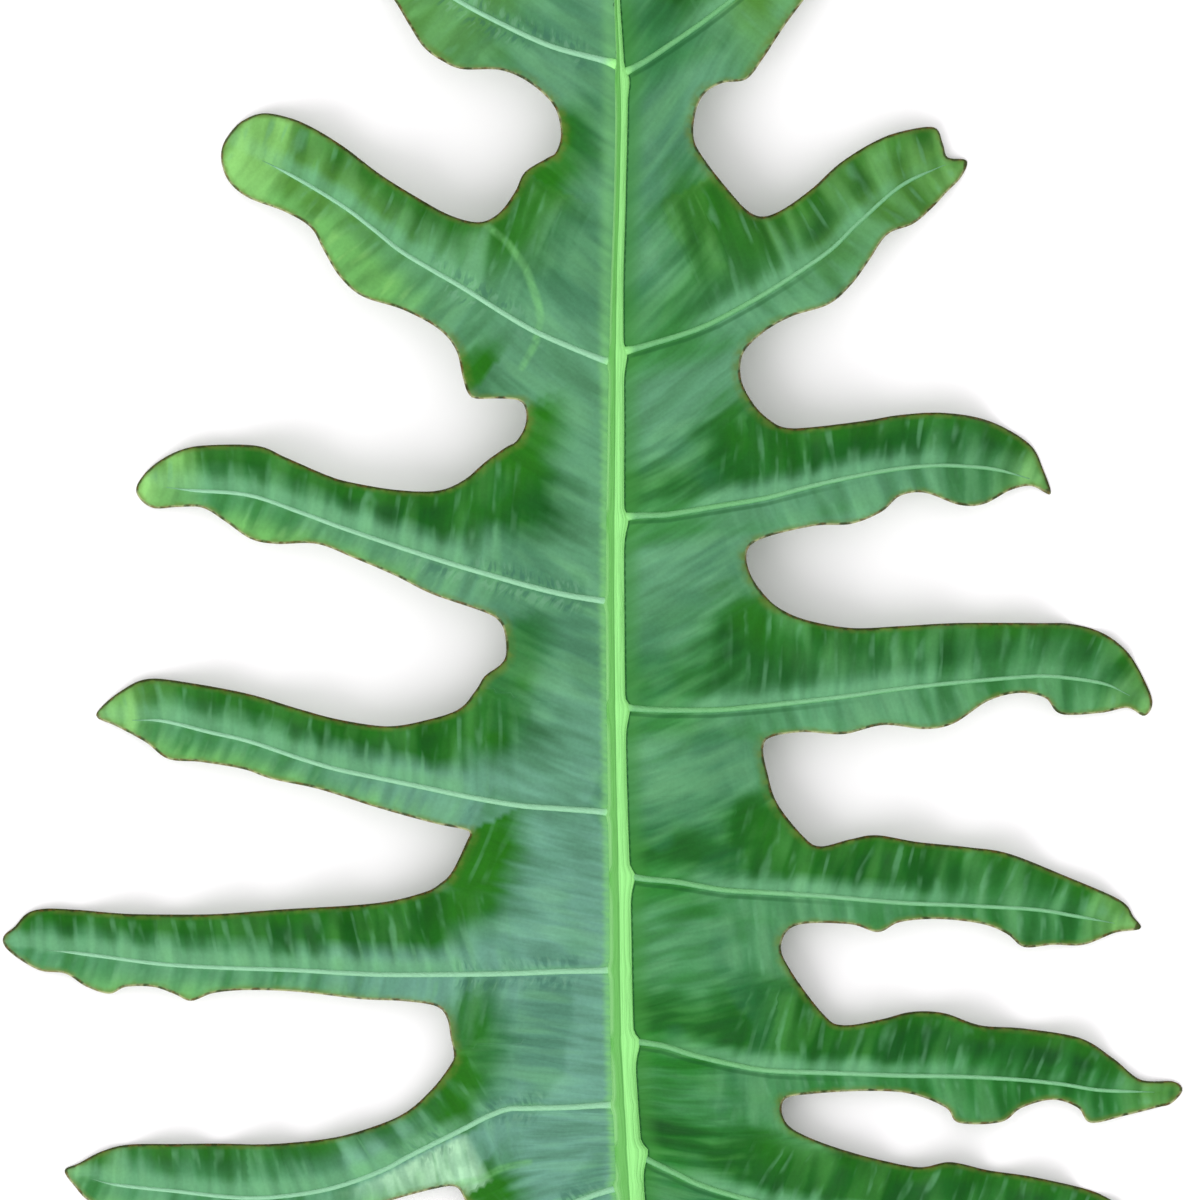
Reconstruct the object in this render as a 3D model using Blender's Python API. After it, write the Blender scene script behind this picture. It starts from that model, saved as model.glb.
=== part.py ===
"""A deeply lobed alocasia leaf, picked with a length of its petiole and laid face up.

Metres, +Z up. The leaf lies on z = 0 with its tip towards +Y. The origin is on the underside,
where the petiole meets the blade. Blade, midrib, side veins and petiole grew as one piece, so
they are one closed solid: a plan outline, split into triangles alike on both faces, with a
height above and a height below worked out for each of its points.
"""

import math

import bmesh
import bpy
import numpy as np
from mathutils import Vector
from mathutils.geometry import delaunay_2d_cdt

# Driving dimensions
BLADE_SPAN = 0.472  # across the blade, between the tips of its two longest lobes
BLADE_THICKNESS = 0.0008
VEIN_WIDTH = 0.0026  # of a side vein where it leaves the midrib
VEIN_HEIGHT = 0.0009
VEIN_END_SHARE = 0.35  # of that width and height at the vein's far end

# The leaf is drawn on the 1200 x 1200 pixel grid of its photograph, x to the right and y down
LEFT_TIP_X = 2
RIGHT_TIP_X = 1183
PIXEL = BLADE_SPAN / (RIGHT_TIP_X - LEFT_TIP_X)
PETIOLE_JOIN = (637, 1320)
APEX = (628, -520)

# Midrib and petiole: y, x of the centre line, full width, all in pixels, from tip to cut end
MIDRIB = [
    (-512, 628, 2.5), (-350, 623, 4), (-150, 618, 5.5), (0, 617, 6), (62, 620, 8), (86, 621, 13),
    (190, 620, 12), (290, 617, 13), (415, 616, 17), (600, 615, 19), (772, 617, 19.5),
    (900, 620, 22), (1034, 622, 24), (1149, 628, 27), (1240, 633, 30), (1320, 637, 32),
    (1500, 639, 33), (1750, 640, 34),
]

# Heights along the leaf, in metres: y from the origin, value
MIDRIB_HEIGHT = [
    (-0.175, 0.0056), (-0.09, 0.0056), (0.0, 0.0056), (0.08, 0.0095), (0.18, 0.016),
    (0.30, 0.022), (0.42, 0.0235), (0.54, 0.019), (0.64, 0.010), (0.70, 0.0045), (0.735, 0.0005),
]
RIB_ABOVE = [
    (-0.175, 0.0060), (-0.02, 0.0058), (0.03, 0.0040), (0.10, 0.0026), (0.30, 0.0020),
    (0.49, 0.0015), (0.53, 0.0008), (0.735, 0.0003),
]
RIB_BELOW = [
    (-0.175, 0.0062), (0.0, 0.0062), (0.06, 0.0058), (0.20, 0.0050), (0.35, 0.0038),
    (0.50, 0.0020), (0.60, 0.0010), (0.735, 0.0002),
]

# Form of the blade
DROOP_POWER = 3.2  # how late along a lobe it bends down to the surface
PANEL_CROWN = 0.0026  # how far the blade swells up between two side veins
PANEL_HALF_WIDTH = 0.016
WAVE_HEIGHT = 0.0024  # of a lobe's waved edge, at half the lobe's width from its vein
WAVE_LENGTH = 0.040
WAVE_WIDEST = 1.4  # half widths from the vein at which the waves grow no more
WAVE_STARTS = 0.055  # along a side vein, where its lobe comes free of the blade
WAVE_FULL = 0.085
WAVE_ENDS = 0.012  # short of the lobe's tip, which lies down flat
LOBE_PHASE = 1.7  # radians between one lobe's waves and the next lobe's
EDGE_PHASE = 0.9  # radians from the vein's line to each of its lobe's two edges
LOBE_HALF_WIDTH = 0.015
LOBE_PARTING = 0.012  # either side of the line midway between two veins, where waves die out
APEX_REACH = 0.035  # of the blade to each side, at its tip

# Mesh sizes
OUTLINE_STEP = 0.0072
ROW_STEP = 0.0130
FILL_STEP = 0.0130
ROW_CLEARANCE = 0.0066  # between the field of points and the edge or a row
RIB_SHARES = (-1, -0.5, 0, 0.5, 1)  # of the midrib's half width, where its mesh points lie
PETIOLE_SHARES = (-0.87, -0.5, 0, 0.5, 0.87)
BLADE_END = -0.012  # y where the blade's inner edges have met the petiole

# Lobes from the tip of the leaf down. Each has its upper edge out to the lobe's tip, its lower
# edge back to the notch below, and its side vein from the midrib out.
LEFT_LOBES = [
    {
        "edge_out": [
            (600, -478), (572, -430), (553, -380), (545, -335), (552, -300), (570, -280),
            (558, -268), (530, -271), (495, -290), (460, -318), (425, -338),
        ],
        "tip": (402, -336),
        "edge_back": [
            (404, -312), (424, -285), (446, -252), (470, -222), (498, -198), (528, -177),
            (552, -158), (562, -137), (562, -116),
        ],
        "vein": [(616, -190), (590, -205), (545, -230), (500, -258), (460, -288), (428, -314)],
    },
    {
        "edge_out": [
            (548, -104), (515, -100), (478, -112), (440, -128), (402, -138), (368, -138),
            (344, -122),
        ],
        "tip": (336, -98),
        "edge_back": [
            (342, -72), (356, -48), (374, -24), (394, 0), (409, 25), (424, 48), (443, 62),
            (463, 70), (501, 71), (530, 84), (554, 107), (561, 134), (556, 153),
        ],
        "vein": [
            (617, 66), (600, 61), (558, 50), (530, 39), (501, 25), (472, 10), (440, -10),
            (400, -45), (368, -78),
        ],
    },
    {
        "edge_out": [
            (547, 159), (525, 173), (515, 193), (499, 214), (479, 223), (451, 216), (419, 199),
            (382, 176), (344, 147), (311, 127), (287, 117), (262, 113), (241, 121), (227, 136),
        ],
        "tip": (221, 150),
        "edge_back": [
            (222, 166), (230, 183), (249, 198), (285, 212), (311, 228), (324, 251), (340, 277),
            (363, 297), (403, 310), (438, 329), (456, 350), (463, 378), (468, 393), (476, 399),
            (499, 399), (519, 401), (526, 411), (525, 427), (516, 442),
        ],
        "vein": [
            (617, 364), (600, 360), (558, 343), (530, 330), (501, 313), (463, 289), (430, 270),
            (399, 251), (373, 230), (344, 208), (300, 181), (262, 161),
        ],
    },
    {
        "edge_out": [
            (507, 447), (487, 461), (463, 481), (436, 491), (396, 490), (354, 483), (329, 476),
            (287, 458), (258, 446), (210, 445), (180, 450), (153, 465), (137, 484),
        ],
        "tip": (138, 497),
        "edge_back": [
            (153, 508), (178, 507), (203, 508), (226, 522), (251, 539), (277, 544), (317, 544),
            (354, 558), (396, 576), (432, 594), (484, 612), (499, 621), (505, 634), (506, 655),
        ],
        "vein": [
            (617, 603), (600, 601), (568, 596), (530, 587), (491, 576), (453, 565), (415, 553),
            (382, 542), (338, 527), (300, 513), (249, 496), (191, 491), (166, 488),
        ],
    },
    {
        "edge_out": [
            (500, 665), (485, 676), (476, 690), (459, 709), (426, 720), (388, 726), (342, 720),
            (300, 709), (249, 694), (191, 683), (147, 679), (119, 692), (99, 709),
        ],
        "tip": (97, 718),
        "edge_back": [
            (115, 726), (145, 742), (168, 759), (201, 762), (243, 769), (272, 779), (319, 789),
            (376, 807), (434, 823), (463, 829), (470, 833),
        ],
        "vein": [
            (617, 814), (600, 812), (558, 809), (520, 806), (472, 798), (434, 790), (386, 780),
            (338, 770), (300, 759), (249, 742), (210, 733), (164, 722), (132, 721),
        ],
    },
    {
        "edge_out": [
            (467, 841), (453, 870), (442, 882), (424, 892), (376, 903), (300, 908), (210, 914),
            (134, 914), (76, 910), (44, 909), (26, 914), (14, 927), (5, 934),
        ],
        "tip": (2, 940),
        "edge_back": [
            (5, 948), (18, 959), (40, 971), (65, 974), (86, 987), (109, 994), (126, 987),
            (153, 987), (174, 994), (191, 1001), (214, 993), (249, 990), (300, 992),
            (361, 999), (403, 1001), (436, 1006), (447, 1018), (451, 1038), (454, 1054),
        ],
        "vein": [
            (619, 969), (600, 971), (558, 972), (510, 974), (453, 975), (376, 975), (300, 971),
            (239, 969), (191, 967), (153, 964), (115, 959), (76, 954), (46, 951),
        ],
    },
    {
        "edge_out": [
            (451, 1064), (432, 1089), (403, 1114), (363, 1130), (319, 1140), (268, 1144),
            (191, 1144), (130, 1145), (101, 1152), (78, 1164),
        ],
        "tip": (64, 1171),
        "edge_back": [
            (74, 1187), (92, 1204), (130, 1217), (180, 1227), (240, 1232), (300, 1227),
            (355, 1213), (396, 1199), (434, 1189), (455, 1187), (464, 1198), (470, 1216),
        ],
        "vein": [
            (622, 1105), (600, 1106), (568, 1108), (526, 1109), (507, 1110), (484, 1119),
            (463, 1130), (415, 1154), (376, 1174), (319, 1192), (249, 1199), (172, 1192),
            (115, 1186), (90, 1180),
        ],
    },
    {
        "edge_out": [
            (466, 1236), (446, 1252), (416, 1264), (370, 1278), (325, 1294), (270, 1304),
            (215, 1318), (165, 1334),
        ],
        "tip": (140, 1352),
        "edge_back": [
            (160, 1368), (205, 1374), (255, 1366), (310, 1364), (368, 1352), (430, 1350),
            (470, 1357), (486, 1374),
        ],
        "vein": [
            (630, 1186), (600, 1194), (560, 1210), (508, 1240), (450, 1278), (390, 1306),
            (320, 1328), (250, 1341), (185, 1350),
        ],
    },
    {
        "edge_out": [
            (478, 1392), (455, 1408), (420, 1426), (380, 1452), (335, 1476), (290, 1500),
            (262, 1518),
        ],
        "tip": (250, 1538),
        "edge_back": [
            (272, 1553), (312, 1548), (355, 1528), (396, 1512), (445, 1482), (490, 1460),
            (522, 1453), (539, 1466),
        ],
        "vein": [
            (633, 1262), (600, 1294), (556, 1346), (512, 1398), (466, 1434), (420, 1461),
            (376, 1485), (330, 1507), (288, 1525),
        ],
    },
    {
        "edge_out": [(530, 1486), (510, 1514), (490, 1546), (474, 1582), (465, 1618)],
        "tip": (472, 1655),
        "edge_back": [
            (498, 1640), (522, 1600), (545, 1552), (565, 1502), (582, 1456), (597, 1416),
            (608, 1386), (614, 1362),
        ],
        "vein": [(636, 1316), (612, 1354), (576, 1422), (542, 1492), (510, 1562), (488, 1620)],
    },
]
RIGHT_LOBES = [
    {
        "edge_out": [
            (660, -482), (688, -436), (705, -388), (712, -345), (704, -312), (688, -292),
            (698, -279), (726, -282), (760, -304), (796, -330), (832, -346),
        ],
        "tip": (856, -338),
        "edge_back": [
            (850, -312), (828, -282), (800, -250), (772, -220), (744, -196), (722, -174),
            (708, -150), (703, -124),
        ],
        "vein": [(620, -200), (650, -214), (700, -238), (750, -268), (795, -300), (832, -326)],
    },
    {
        "edge_out": [(716, -109), (750, -110), (790, -128), (830, -146), (866, -152)],
        "tip": (890, -138),
        "edge_back": [
            (886, -112), (866, -84), (846, -54), (826, -28), (804, 0), (784, 27), (763, 59),
            (746, 80), (722, 84), (704, 95), (695, 115), (694, 141), (707, 164), (730, 193),
            (747, 211),
        ],
        "vein": [
            (620, 76), (646, 62), (667, 48), (692, 31), (715, 14), (745, -10), (790, -52),
            (835, -95), (864, -122),
        ],
    },
    {
        "edge_out": [
            (763, 217), (784, 209), (812, 189), (839, 164), (872, 143), (900, 132), (934, 127),
            (943, 143), (948, 157),
        ],
        "tip": (967, 160),
        "edge_back": [
            (962, 176), (946, 193), (932, 208), (913, 224), (887, 235), (868, 262), (851, 285),
            (828, 305), (791, 317), (763, 333), (743, 354), (741, 380), (753, 404), (769, 420),
        ],
        "vein": [
            (620, 353), (640, 348), (686, 334), (715, 322), (757, 299), (791, 278), (830, 251),
            (858, 224), (900, 187), (938, 168), (946, 165),
        ],
    },
    {
        "edge_out": [
            (786, 428), (816, 427), (864, 421), (900, 415), (944, 413), (990, 421), (1030, 444),
            (1044, 470),
        ],
        "tip": (1051, 494),
        "edge_back": [
            (1032, 486), (1011, 490), (984, 504), (959, 505), (925, 493), (900, 496),
            (881, 512), (851, 524), (814, 526), (764, 538), (747, 551), (750, 574), (766, 597),
        ],
        "vein": [
            (620, 518), (640, 516), (667, 515), (715, 507), (763, 499), (810, 487), (849, 478),
            (900, 469), (938, 466), (967, 467), (996, 470), (1030, 479),
        ],
    },
    {
        "edge_out": [
            (784, 611), (810, 621), (853, 628), (900, 626), (957, 623), (1038, 623),
            (1072, 624), (1103, 633), (1128, 652), (1145, 680), (1153, 703),
        ],
        "tip": (1145, 716),
        "edge_back": [
            (1128, 708), (1101, 713), (1061, 714), (1045, 698), (1019, 693), (988, 701),
            (954, 723), (925, 729), (883, 725), (843, 734), (803, 732), (771, 737),
            (763, 748), (767, 772), (777, 803), (803, 836),
        ],
        "vein": [
            (618, 707), (657, 710), (715, 710), (753, 707), (810, 701), (858, 695), (900, 689),
            (957, 683), (1015, 678), (1053, 677), (1103, 684), (1130, 696),
        ],
    },
    {
        "edge_out": [
            (820, 846), (851, 839), (877, 835), (919, 842), (967, 847), (1007, 853),
            (1063, 875), (1120, 900), (1134, 917),
        ],
        "tip": (1141, 929),
        "edge_back": [
            (1116, 933), (1084, 945), (1053, 945), (1024, 947), (1007, 934), (982, 924),
            (938, 919), (900, 922), (878, 932), (849, 924), (797, 925), (781, 945),
            (791, 971), (824, 1015),
        ],
        "vein": [
            (620, 874), (645, 879), (676, 882), (724, 890), (772, 893), (830, 897), (900, 903),
            (967, 906), (1034, 910), (1072, 916), (1115, 924),
        ],
    },
    {
        "edge_out": [
            (843, 1025), (881, 1019), (911, 1012), (944, 1013), (980, 1025), (1026, 1029),
            (1080, 1038), (1114, 1059), (1141, 1080), (1174, 1082),
        ],
        "tip": (1183, 1091),
        "edge_back": [
            (1172, 1104), (1158, 1108), (1126, 1116), (1091, 1123), (1078, 1108), (1053, 1100),
            (1022, 1108), (1001, 1122), (959, 1123), (946, 1108), (911, 1094), (868, 1091),
            (810, 1094), (784, 1100), (785, 1121),
        ],
        "vein": [
            (623, 1040), (663, 1046), (692, 1055), (734, 1065), (772, 1071), (849, 1074),
            (900, 1076), (957, 1077), (1015, 1080), (1063, 1085), (1101, 1091), (1155, 1093),
        ],
    },
    {
        "edge_out": [
            (806, 1136), (854, 1153), (915, 1167), (950, 1162), (990, 1171), (1034, 1177),
            (1084, 1189), (1107, 1198), (1132, 1214),
        ],
        "tip": (1152, 1242),
        "edge_back": [
            (1136, 1256), (1108, 1254), (1078, 1247), (1048, 1252), (1016, 1265), (980, 1268),
            (948, 1257), (915, 1247), (872, 1243), (830, 1247), (800, 1254), (787, 1272),
        ],
        "vein": [
            (628, 1150), (657, 1165), (676, 1174), (699, 1185), (740, 1198), (800, 1212),
            (870, 1222), (940, 1228), (1010, 1234), (1080, 1239), (1122, 1241),
        ],
    },
    {
        "edge_out": [
            (800, 1294), (830, 1308), (870, 1322), (915, 1340), (960, 1362), (1005, 1388),
            (1045, 1418), (1072, 1446),
        ],
        "tip": (1080, 1468),
        "edge_back": [
            (1060, 1475), (1034, 1468), (1004, 1462), (970, 1467), (930, 1461), (890, 1446),
            (845, 1428), (805, 1414), (772, 1406), (748, 1412), (737, 1432),
        ],
        "vein": [
            (634, 1254), (700, 1290), (770, 1330), (850, 1372), (930, 1412), (1000, 1442),
            (1046, 1458),
        ],
    },
    {
        "edge_out": [(746, 1452), (768, 1482), (790, 1516), (808, 1552), (820, 1590)],
        "tip": (814, 1658),
        "edge_back": [
            (794, 1646), (774, 1612), (750, 1565), (728, 1518), (708, 1470), (692, 1428),
            (678, 1392), (668, 1370), (661, 1356),
        ],
        "vein": [(638, 1316), (668, 1354), (702, 1422), (735, 1492), (765, 1557), (792, 1620)],
    },
]


def place(points):
    """Drawing pixels to metres in the leaf's own frame."""
    at = np.array(points, dtype=float)
    return np.stack([at[:, 0] - PETIOLE_JOIN[0], PETIOLE_JOIN[1] - at[:, 1]], axis=1) * PIXEL


CUT_END = place([(MIDRIB[-1][1], MIDRIB[-1][0])])[0, 1]
TIP_END = place([(MIDRIB[0][1], MIDRIB[0][0])])[0, 1]


def smooth_path(points, step):
    """Points on the smooth curve through all of the given points, about a step apart."""
    ends = np.vstack([2 * points[0] - points[1], points, 2 * points[-1] - points[-2]])
    path = []
    for before, start, end, after in zip(ends, ends[1:], ends[2:], ends[3:]):
        count = max(1, round(np.linalg.norm(end - start) / step))
        s = (np.arange(count) / count)[:, None]
        leaving, arriving = (end - before) / 2, (after - start) / 2
        bend = 3 * (end - start) - 2 * leaving - arriving
        twist = 2 * (start - end) + leaving + arriving
        path.append(start + leaving * s + bend * s**2 + twist * s**3)
    return np.vstack(path + [points[-1:]])


def values_between(table, at):
    """Smooth values through (place, value) pairs, held constant past both ends."""
    x, value = np.array(sorted(table), dtype=float).T
    slope = np.gradient(value, x)
    i = np.clip(np.searchsorted(x, at) - 1, 0, len(x) - 2)
    length = x[i + 1] - x[i]
    s = np.clip((at - x[i]) / length, 0, 1)
    start = (1 + 2 * s) * (1 - s) ** 2 * value[i] + s * (1 - s) ** 2 * length * slope[i]
    end = s**2 * (3 - 2 * s) * value[i + 1] + s**2 * (s - 1) * length * slope[i + 1]
    return start + end


def smooth_step(low, high, at):
    """0 below low, 1 above high, with an even change between."""
    s = np.clip((at - low) / (high - low), 0, 1)
    return s * s * (3 - 2 * s)


def midrib_table():
    """y, x of the centre line and half width, in metres."""
    y, x, width = np.array(MIDRIB, dtype=float).T
    centre = place(np.stack([x, y], axis=1))
    return centre[:, 1], centre[:, 0], width * PIXEL / 2


def midrib_x(y):
    at, x, _ = midrib_table()
    return values_between(list(zip(at, x)), y)


def midrib_half_width(y):
    at, _, half = midrib_table()
    return np.interp(y, at[::-1], half[::-1])


def near_path(path, points):
    """Distance of each point to a path, how far along the path that is, and its side of it."""
    start, run = path[:-1], np.diff(path, axis=0)
    length = np.linalg.norm(run, axis=1)
    along = np.concatenate([[0], np.cumsum(length)[:-1]])
    offset = points[:, None, :] - start[None]
    s = np.clip((offset * run).sum(axis=2) / length**2, 0, 1)
    away = offset - s[..., None] * run
    distance = np.linalg.norm(away, axis=2)
    k = distance.argmin(axis=1)
    row = np.arange(len(points))
    side = np.sign(run[k, 0] * away[row, k, 1] - run[k, 1] * away[row, k, 0])
    return distance[row, k], along[k] + s[row, k] * length[k], side


def lobed_edge(lobes):
    """One side's edge from the leaf's tip down to the petiole."""
    points = [APEX]
    for lobe in lobes:
        points += lobe["edge_out"] + [lobe["tip"]] + lobe["edge_back"]
    return smooth_path(place(points), OUTLINE_STEP)


def midrib_stations():
    """Evenly spaced y along the whole midrib and petiole, from the cut end up."""
    return np.arange(CUT_END, TIP_END, ROW_STEP)


def midrib_row(share, y):
    """Points a share of the half width to the right of the midrib's centre line."""
    return np.stack([midrib_x(y) + share * midrib_half_width(y), y], axis=1)


def outline():
    """The plan outline: down the left edge, round the petiole's cut end and up the right edge."""
    y = midrib_stations()
    y = y[y < BLADE_END]
    across_end = np.vstack([midrib_row(share, y[:1]) for share in PETIOLE_SHARES])
    petiole = np.vstack([midrib_row(-1, y[::-1]), across_end, midrib_row(1, y)])
    return np.vstack([lobed_edge(LEFT_LOBES), petiole, lobed_edge(RIGHT_LOBES)[:0:-1]])


def inside(loop, points):
    """Which points lie inside a closed loop."""
    a, b = loop, np.roll(loop, -1, axis=0)
    x, y = points[:, :1], points[:, 1:]
    crosses = (a[:, 1] > y) != (b[:, 1] > y)
    rise = np.where(b[:, 1] == a[:, 1], 1, b[:, 1] - a[:, 1])
    cut = (b[:, 0] - a[:, 0]) * (y - a[:, 1]) / rise + a[:, 0]
    return (crosses & (x < cut)).sum(axis=1) % 2 == 1


def vein_paths(lobes, step):
    return [smooth_path(place(lobe["vein"]), step) for lobe in lobes]


def path_length(path):
    return np.linalg.norm(np.diff(path, axis=0), axis=1).sum()


def taper(path, along):
    """The share of its full size that a side vein still has, a distance along its path."""
    return 1 + (VEIN_END_SHARE - 1) * np.clip(along / path_length(path), 0, 1)


def rib_rows():
    """Mesh points along the midrib and petiole, and along each side vein."""
    y = midrib_stations()
    rows = [midrib_row(share, y[y >= BLADE_END]) for share in RIB_SHARES]
    rows += [midrib_row(share, y[y < BLADE_END][1:]) for share in PETIOLE_SHARES]
    for path in vein_paths(LEFT_LOBES, ROW_STEP) + vein_paths(RIGHT_LOBES, ROW_STEP):
        run = np.gradient(path, axis=0)
        across = np.stack([-run[:, 1], run[:, 0]], axis=1)
        across /= np.linalg.norm(across, axis=1)[:, None]
        along = np.concatenate([[0], np.cumsum(np.linalg.norm(np.diff(path, axis=0), axis=1))])
        half = (VEIN_WIDTH / 2 * taper(path, along))[:, None]
        off_rib = np.abs(path[:, 0] - midrib_x(path[:, 1])) - midrib_half_width(path[:, 1])
        for side in (-1, 0, 1):
            rows.append((path + side * half * across)[off_rib > VEIN_WIDTH])
    return rows


def fill_points(loop, rows):
    """An even field of points on the blade, clear of its edge and of the ribs' own points."""
    low, high = loop.min(axis=0), loop.max(axis=0)
    lines = []
    for k, y in enumerate(np.arange(low[1], high[1], FILL_STEP * math.sqrt(0.75))):
        x = np.arange(low[0] + (k % 2) * FILL_STEP / 2, high[0], FILL_STEP)
        lines.append(np.stack([x, np.full_like(x, y)], axis=1))
    field = np.vstack(lines)
    field = field[inside(loop, field)]
    field = field[near_path(np.vstack([loop, loop[:1]]), field)[0] > ROW_CLEARANCE]
    for row in rows:
        field = field[near_path(row, field)[0] > ROW_CLEARANCE]
    return field


def lobe_waves(lobes, points):
    """Height of one side's waved edges, and how far each point is from the nearest vein."""
    nearest = np.full(len(points), np.inf)
    second = np.full(len(points), np.inf)
    wave = np.zeros(len(points))
    for number, path in enumerate(vein_paths(lobes, ROW_STEP)):
        away, along, side = near_path(path, points)
        length = path_length(path)
        turn = 2 * math.pi * along / WAVE_LENGTH + number * LOBE_PHASE + side * EDGE_PHASE
        free = smooth_step(WAVE_STARTS, WAVE_FULL, along)
        free *= 1 - smooth_step(length - WAVE_ENDS, length, along)
        size = WAVE_HEIGHT * np.clip(away / LOBE_HALF_WIDTH, 0, WAVE_WIDEST) ** 2
        wave = np.where(away < nearest, size * free * np.sin(turn), wave)
        second = np.minimum(second, np.maximum(nearest, away))
        nearest = np.minimum(nearest, away)
    return wave * smooth_step(0, LOBE_PARTING, second - nearest), nearest


def blade_form(points):
    """Height of the middle of the blade, before ribs."""
    offset = points[:, 0] - midrib_x(points[:, 1])
    height = np.zeros(len(points))
    for lobes, on_side in ((LEFT_LOBES, offset < 0), (RIGHT_LOBES, offset >= 0)):
        at, off = points[on_side], np.abs(offset[on_side])
        tips = place([lobe["tip"] for lobe in lobes])
        reach = [(tip[1], abs(tip[0] - midrib_x(tip[1:])[0])) for tip in tips]
        reach.append((place([APEX])[0, 1], APEX_REACH))
        share = np.clip(off / values_between(reach, at[:, 1]), 0, 1)
        droop = values_between(MIDRIB_HEIGHT, at[:, 1]) * (1 - share**DROOP_POWER)
        wave, from_vein = lobe_waves(lobes, at)
        from_rib = np.minimum(from_vein, off) / PANEL_HALF_WIDTH
        crown = PANEL_CROWN * (1 - np.exp(-(from_rib**2))) * (1 - share**2)
        off_midrib = smooth_step(0, LOBE_HALF_WIDTH, off - midrib_half_width(at[:, 1]))
        height[on_side] = droop + off_midrib * (wave + crown)
    return height


def vein_relief(points):
    """How far the side veins stand above the blade, and below it."""
    relief = np.zeros(len(points))
    for path in vein_paths(LEFT_LOBES, ROW_STEP) + vein_paths(RIGHT_LOBES, ROW_STEP):
        away, along, _ = near_path(path, points)
        size = taper(path, along)
        section = np.clip(1 - (away / (VEIN_WIDTH / 2 * size)) ** 2, 0, 1)
        relief = np.maximum(relief, VEIN_HEIGHT * size * section)
    return relief


def faces_heights(points):
    """Height of the upper and of the lower face at each point, resting on z = 0."""
    x, y = points.T
    middle = blade_form(points)
    across = (x - midrib_x(y)) / midrib_half_width(y)
    section = np.sqrt(np.clip(1 - across**2, 0, 1))
    relief = vein_relief(points)
    half = BLADE_THICKNESS / 2
    above = middle + half + np.maximum(relief, values_between(RIB_ABOVE, y) * section)
    below = middle - half - np.maximum(relief, values_between(RIB_BELOW, y) * section)
    below = np.maximum(below, 0)
    return np.maximum(above, below + BLADE_THICKNESS), below


def plan_triangles():
    """The plan split into triangles: points in metres and their index triples."""
    loop = outline()
    rows = [row[inside(loop, row)] for row in rib_rows()]
    edge = np.vstack([loop, loop[:1]])
    rows = [row[near_path(edge, row)[0] > BLADE_THICKNESS] for row in rows if len(row)]
    points = np.vstack([loop] + rows + [fill_points(loop, [row for row in rows if len(row) > 1])])
    edges = [(i, (i + 1) % len(loop)) for i in range(len(loop))]
    found = delaunay_2d_cdt([Vector(point) for point in points], edges, [], 1, 1e-6)
    return np.array([tuple(point) for point in found[0]]), found[2]


def leaf_material(name, colour, roughness):
    material = bpy.data.materials.new(name)
    material.use_nodes = True
    shader = material.node_tree.nodes["Principled BSDF"]
    shader.inputs["Base Color"].default_value = (*colour, 1)
    shader.inputs["Roughness"].default_value = roughness
    shader.inputs["Metallic"].default_value = 0
    return material


def make_leaf():
    """The closed solid: the plan's triangles below, the same triangles above, and its edge."""
    points, triangles = plan_triangles()
    above, below = faces_heights(points)
    bm = bmesh.new()
    lower = [bm.verts.new((*point, z)) for point, z in zip(points, below)]
    upper = [bm.verts.new((*point, z)) for point, z in zip(points, above)]
    edges = set()
    for a, b, c in triangles:
        bm.faces.new((upper[a], upper[b], upper[c]))
        bm.faces.new((lower[c], lower[b], lower[a]))
        edges |= {(a, b), (b, c), (c, a)}
    for a, b in sorted(edges):
        if (b, a) not in edges:
            bm.faces.new((lower[a], lower[b], upper[b], upper[a]))
    for face in bm.faces:
        centre = face.calc_center_median()
        y = np.array([centre.y])
        on_rib = abs(centre.x - midrib_x(y)[0]) < midrib_half_width(y)[0]
        face.material_index = 1 if on_rib else 0
        face.smooth = True
    mesh = bpy.data.meshes.new("leaf")
    bm.to_mesh(mesh)
    bm.free()
    mesh.set_sharp_from_angle(angle=math.radians(50))
    mesh.materials.append(leaf_material("blade_green", (0.065, 0.25, 0.075), 0.42))
    mesh.materials.append(leaf_material("midrib_lime", (0.30, 0.66, 0.22), 0.38))
    leaf = bpy.data.objects.new("leaf", mesh)
    bpy.context.scene.collection.objects.link(leaf)


for leftover in list(bpy.data.objects):
    bpy.data.objects.remove(leftover)
make_leaf()
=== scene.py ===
"""The looks of a picked, deeply lobed alocasia leaf: fine meshes, materials, light and camera.

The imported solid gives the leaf's place and size. Its one node is replaced by three pieces that
keep its form: the blade, the side veins, and the midrib with the petiole.
"""

import math

import bpy
import numpy as np
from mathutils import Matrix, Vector, noise
from mathutils.geometry import delaunay_2d_cdt
from mathutils.kdtree import KDTree


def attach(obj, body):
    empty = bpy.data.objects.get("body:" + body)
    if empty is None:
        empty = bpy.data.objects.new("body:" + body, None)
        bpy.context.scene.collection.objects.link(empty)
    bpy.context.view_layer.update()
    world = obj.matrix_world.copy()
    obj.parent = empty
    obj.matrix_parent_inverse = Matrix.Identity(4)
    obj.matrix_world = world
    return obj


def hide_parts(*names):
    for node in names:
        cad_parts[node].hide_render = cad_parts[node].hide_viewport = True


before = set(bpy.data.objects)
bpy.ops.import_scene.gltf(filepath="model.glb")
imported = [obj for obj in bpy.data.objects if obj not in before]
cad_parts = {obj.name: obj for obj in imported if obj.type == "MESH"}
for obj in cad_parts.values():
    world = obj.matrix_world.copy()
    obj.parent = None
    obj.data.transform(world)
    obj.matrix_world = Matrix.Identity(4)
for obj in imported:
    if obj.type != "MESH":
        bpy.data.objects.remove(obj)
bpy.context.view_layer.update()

# The leaf is drawn on the 1200 x 1200 pixel grid of its photograph, x to the right and y down
BLADE_SPAN = 0.472
LEFT_TIP_X = 2
RIGHT_TIP_X = 1183
PIXEL = BLADE_SPAN / (RIGHT_TIP_X - LEFT_TIP_X)
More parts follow.
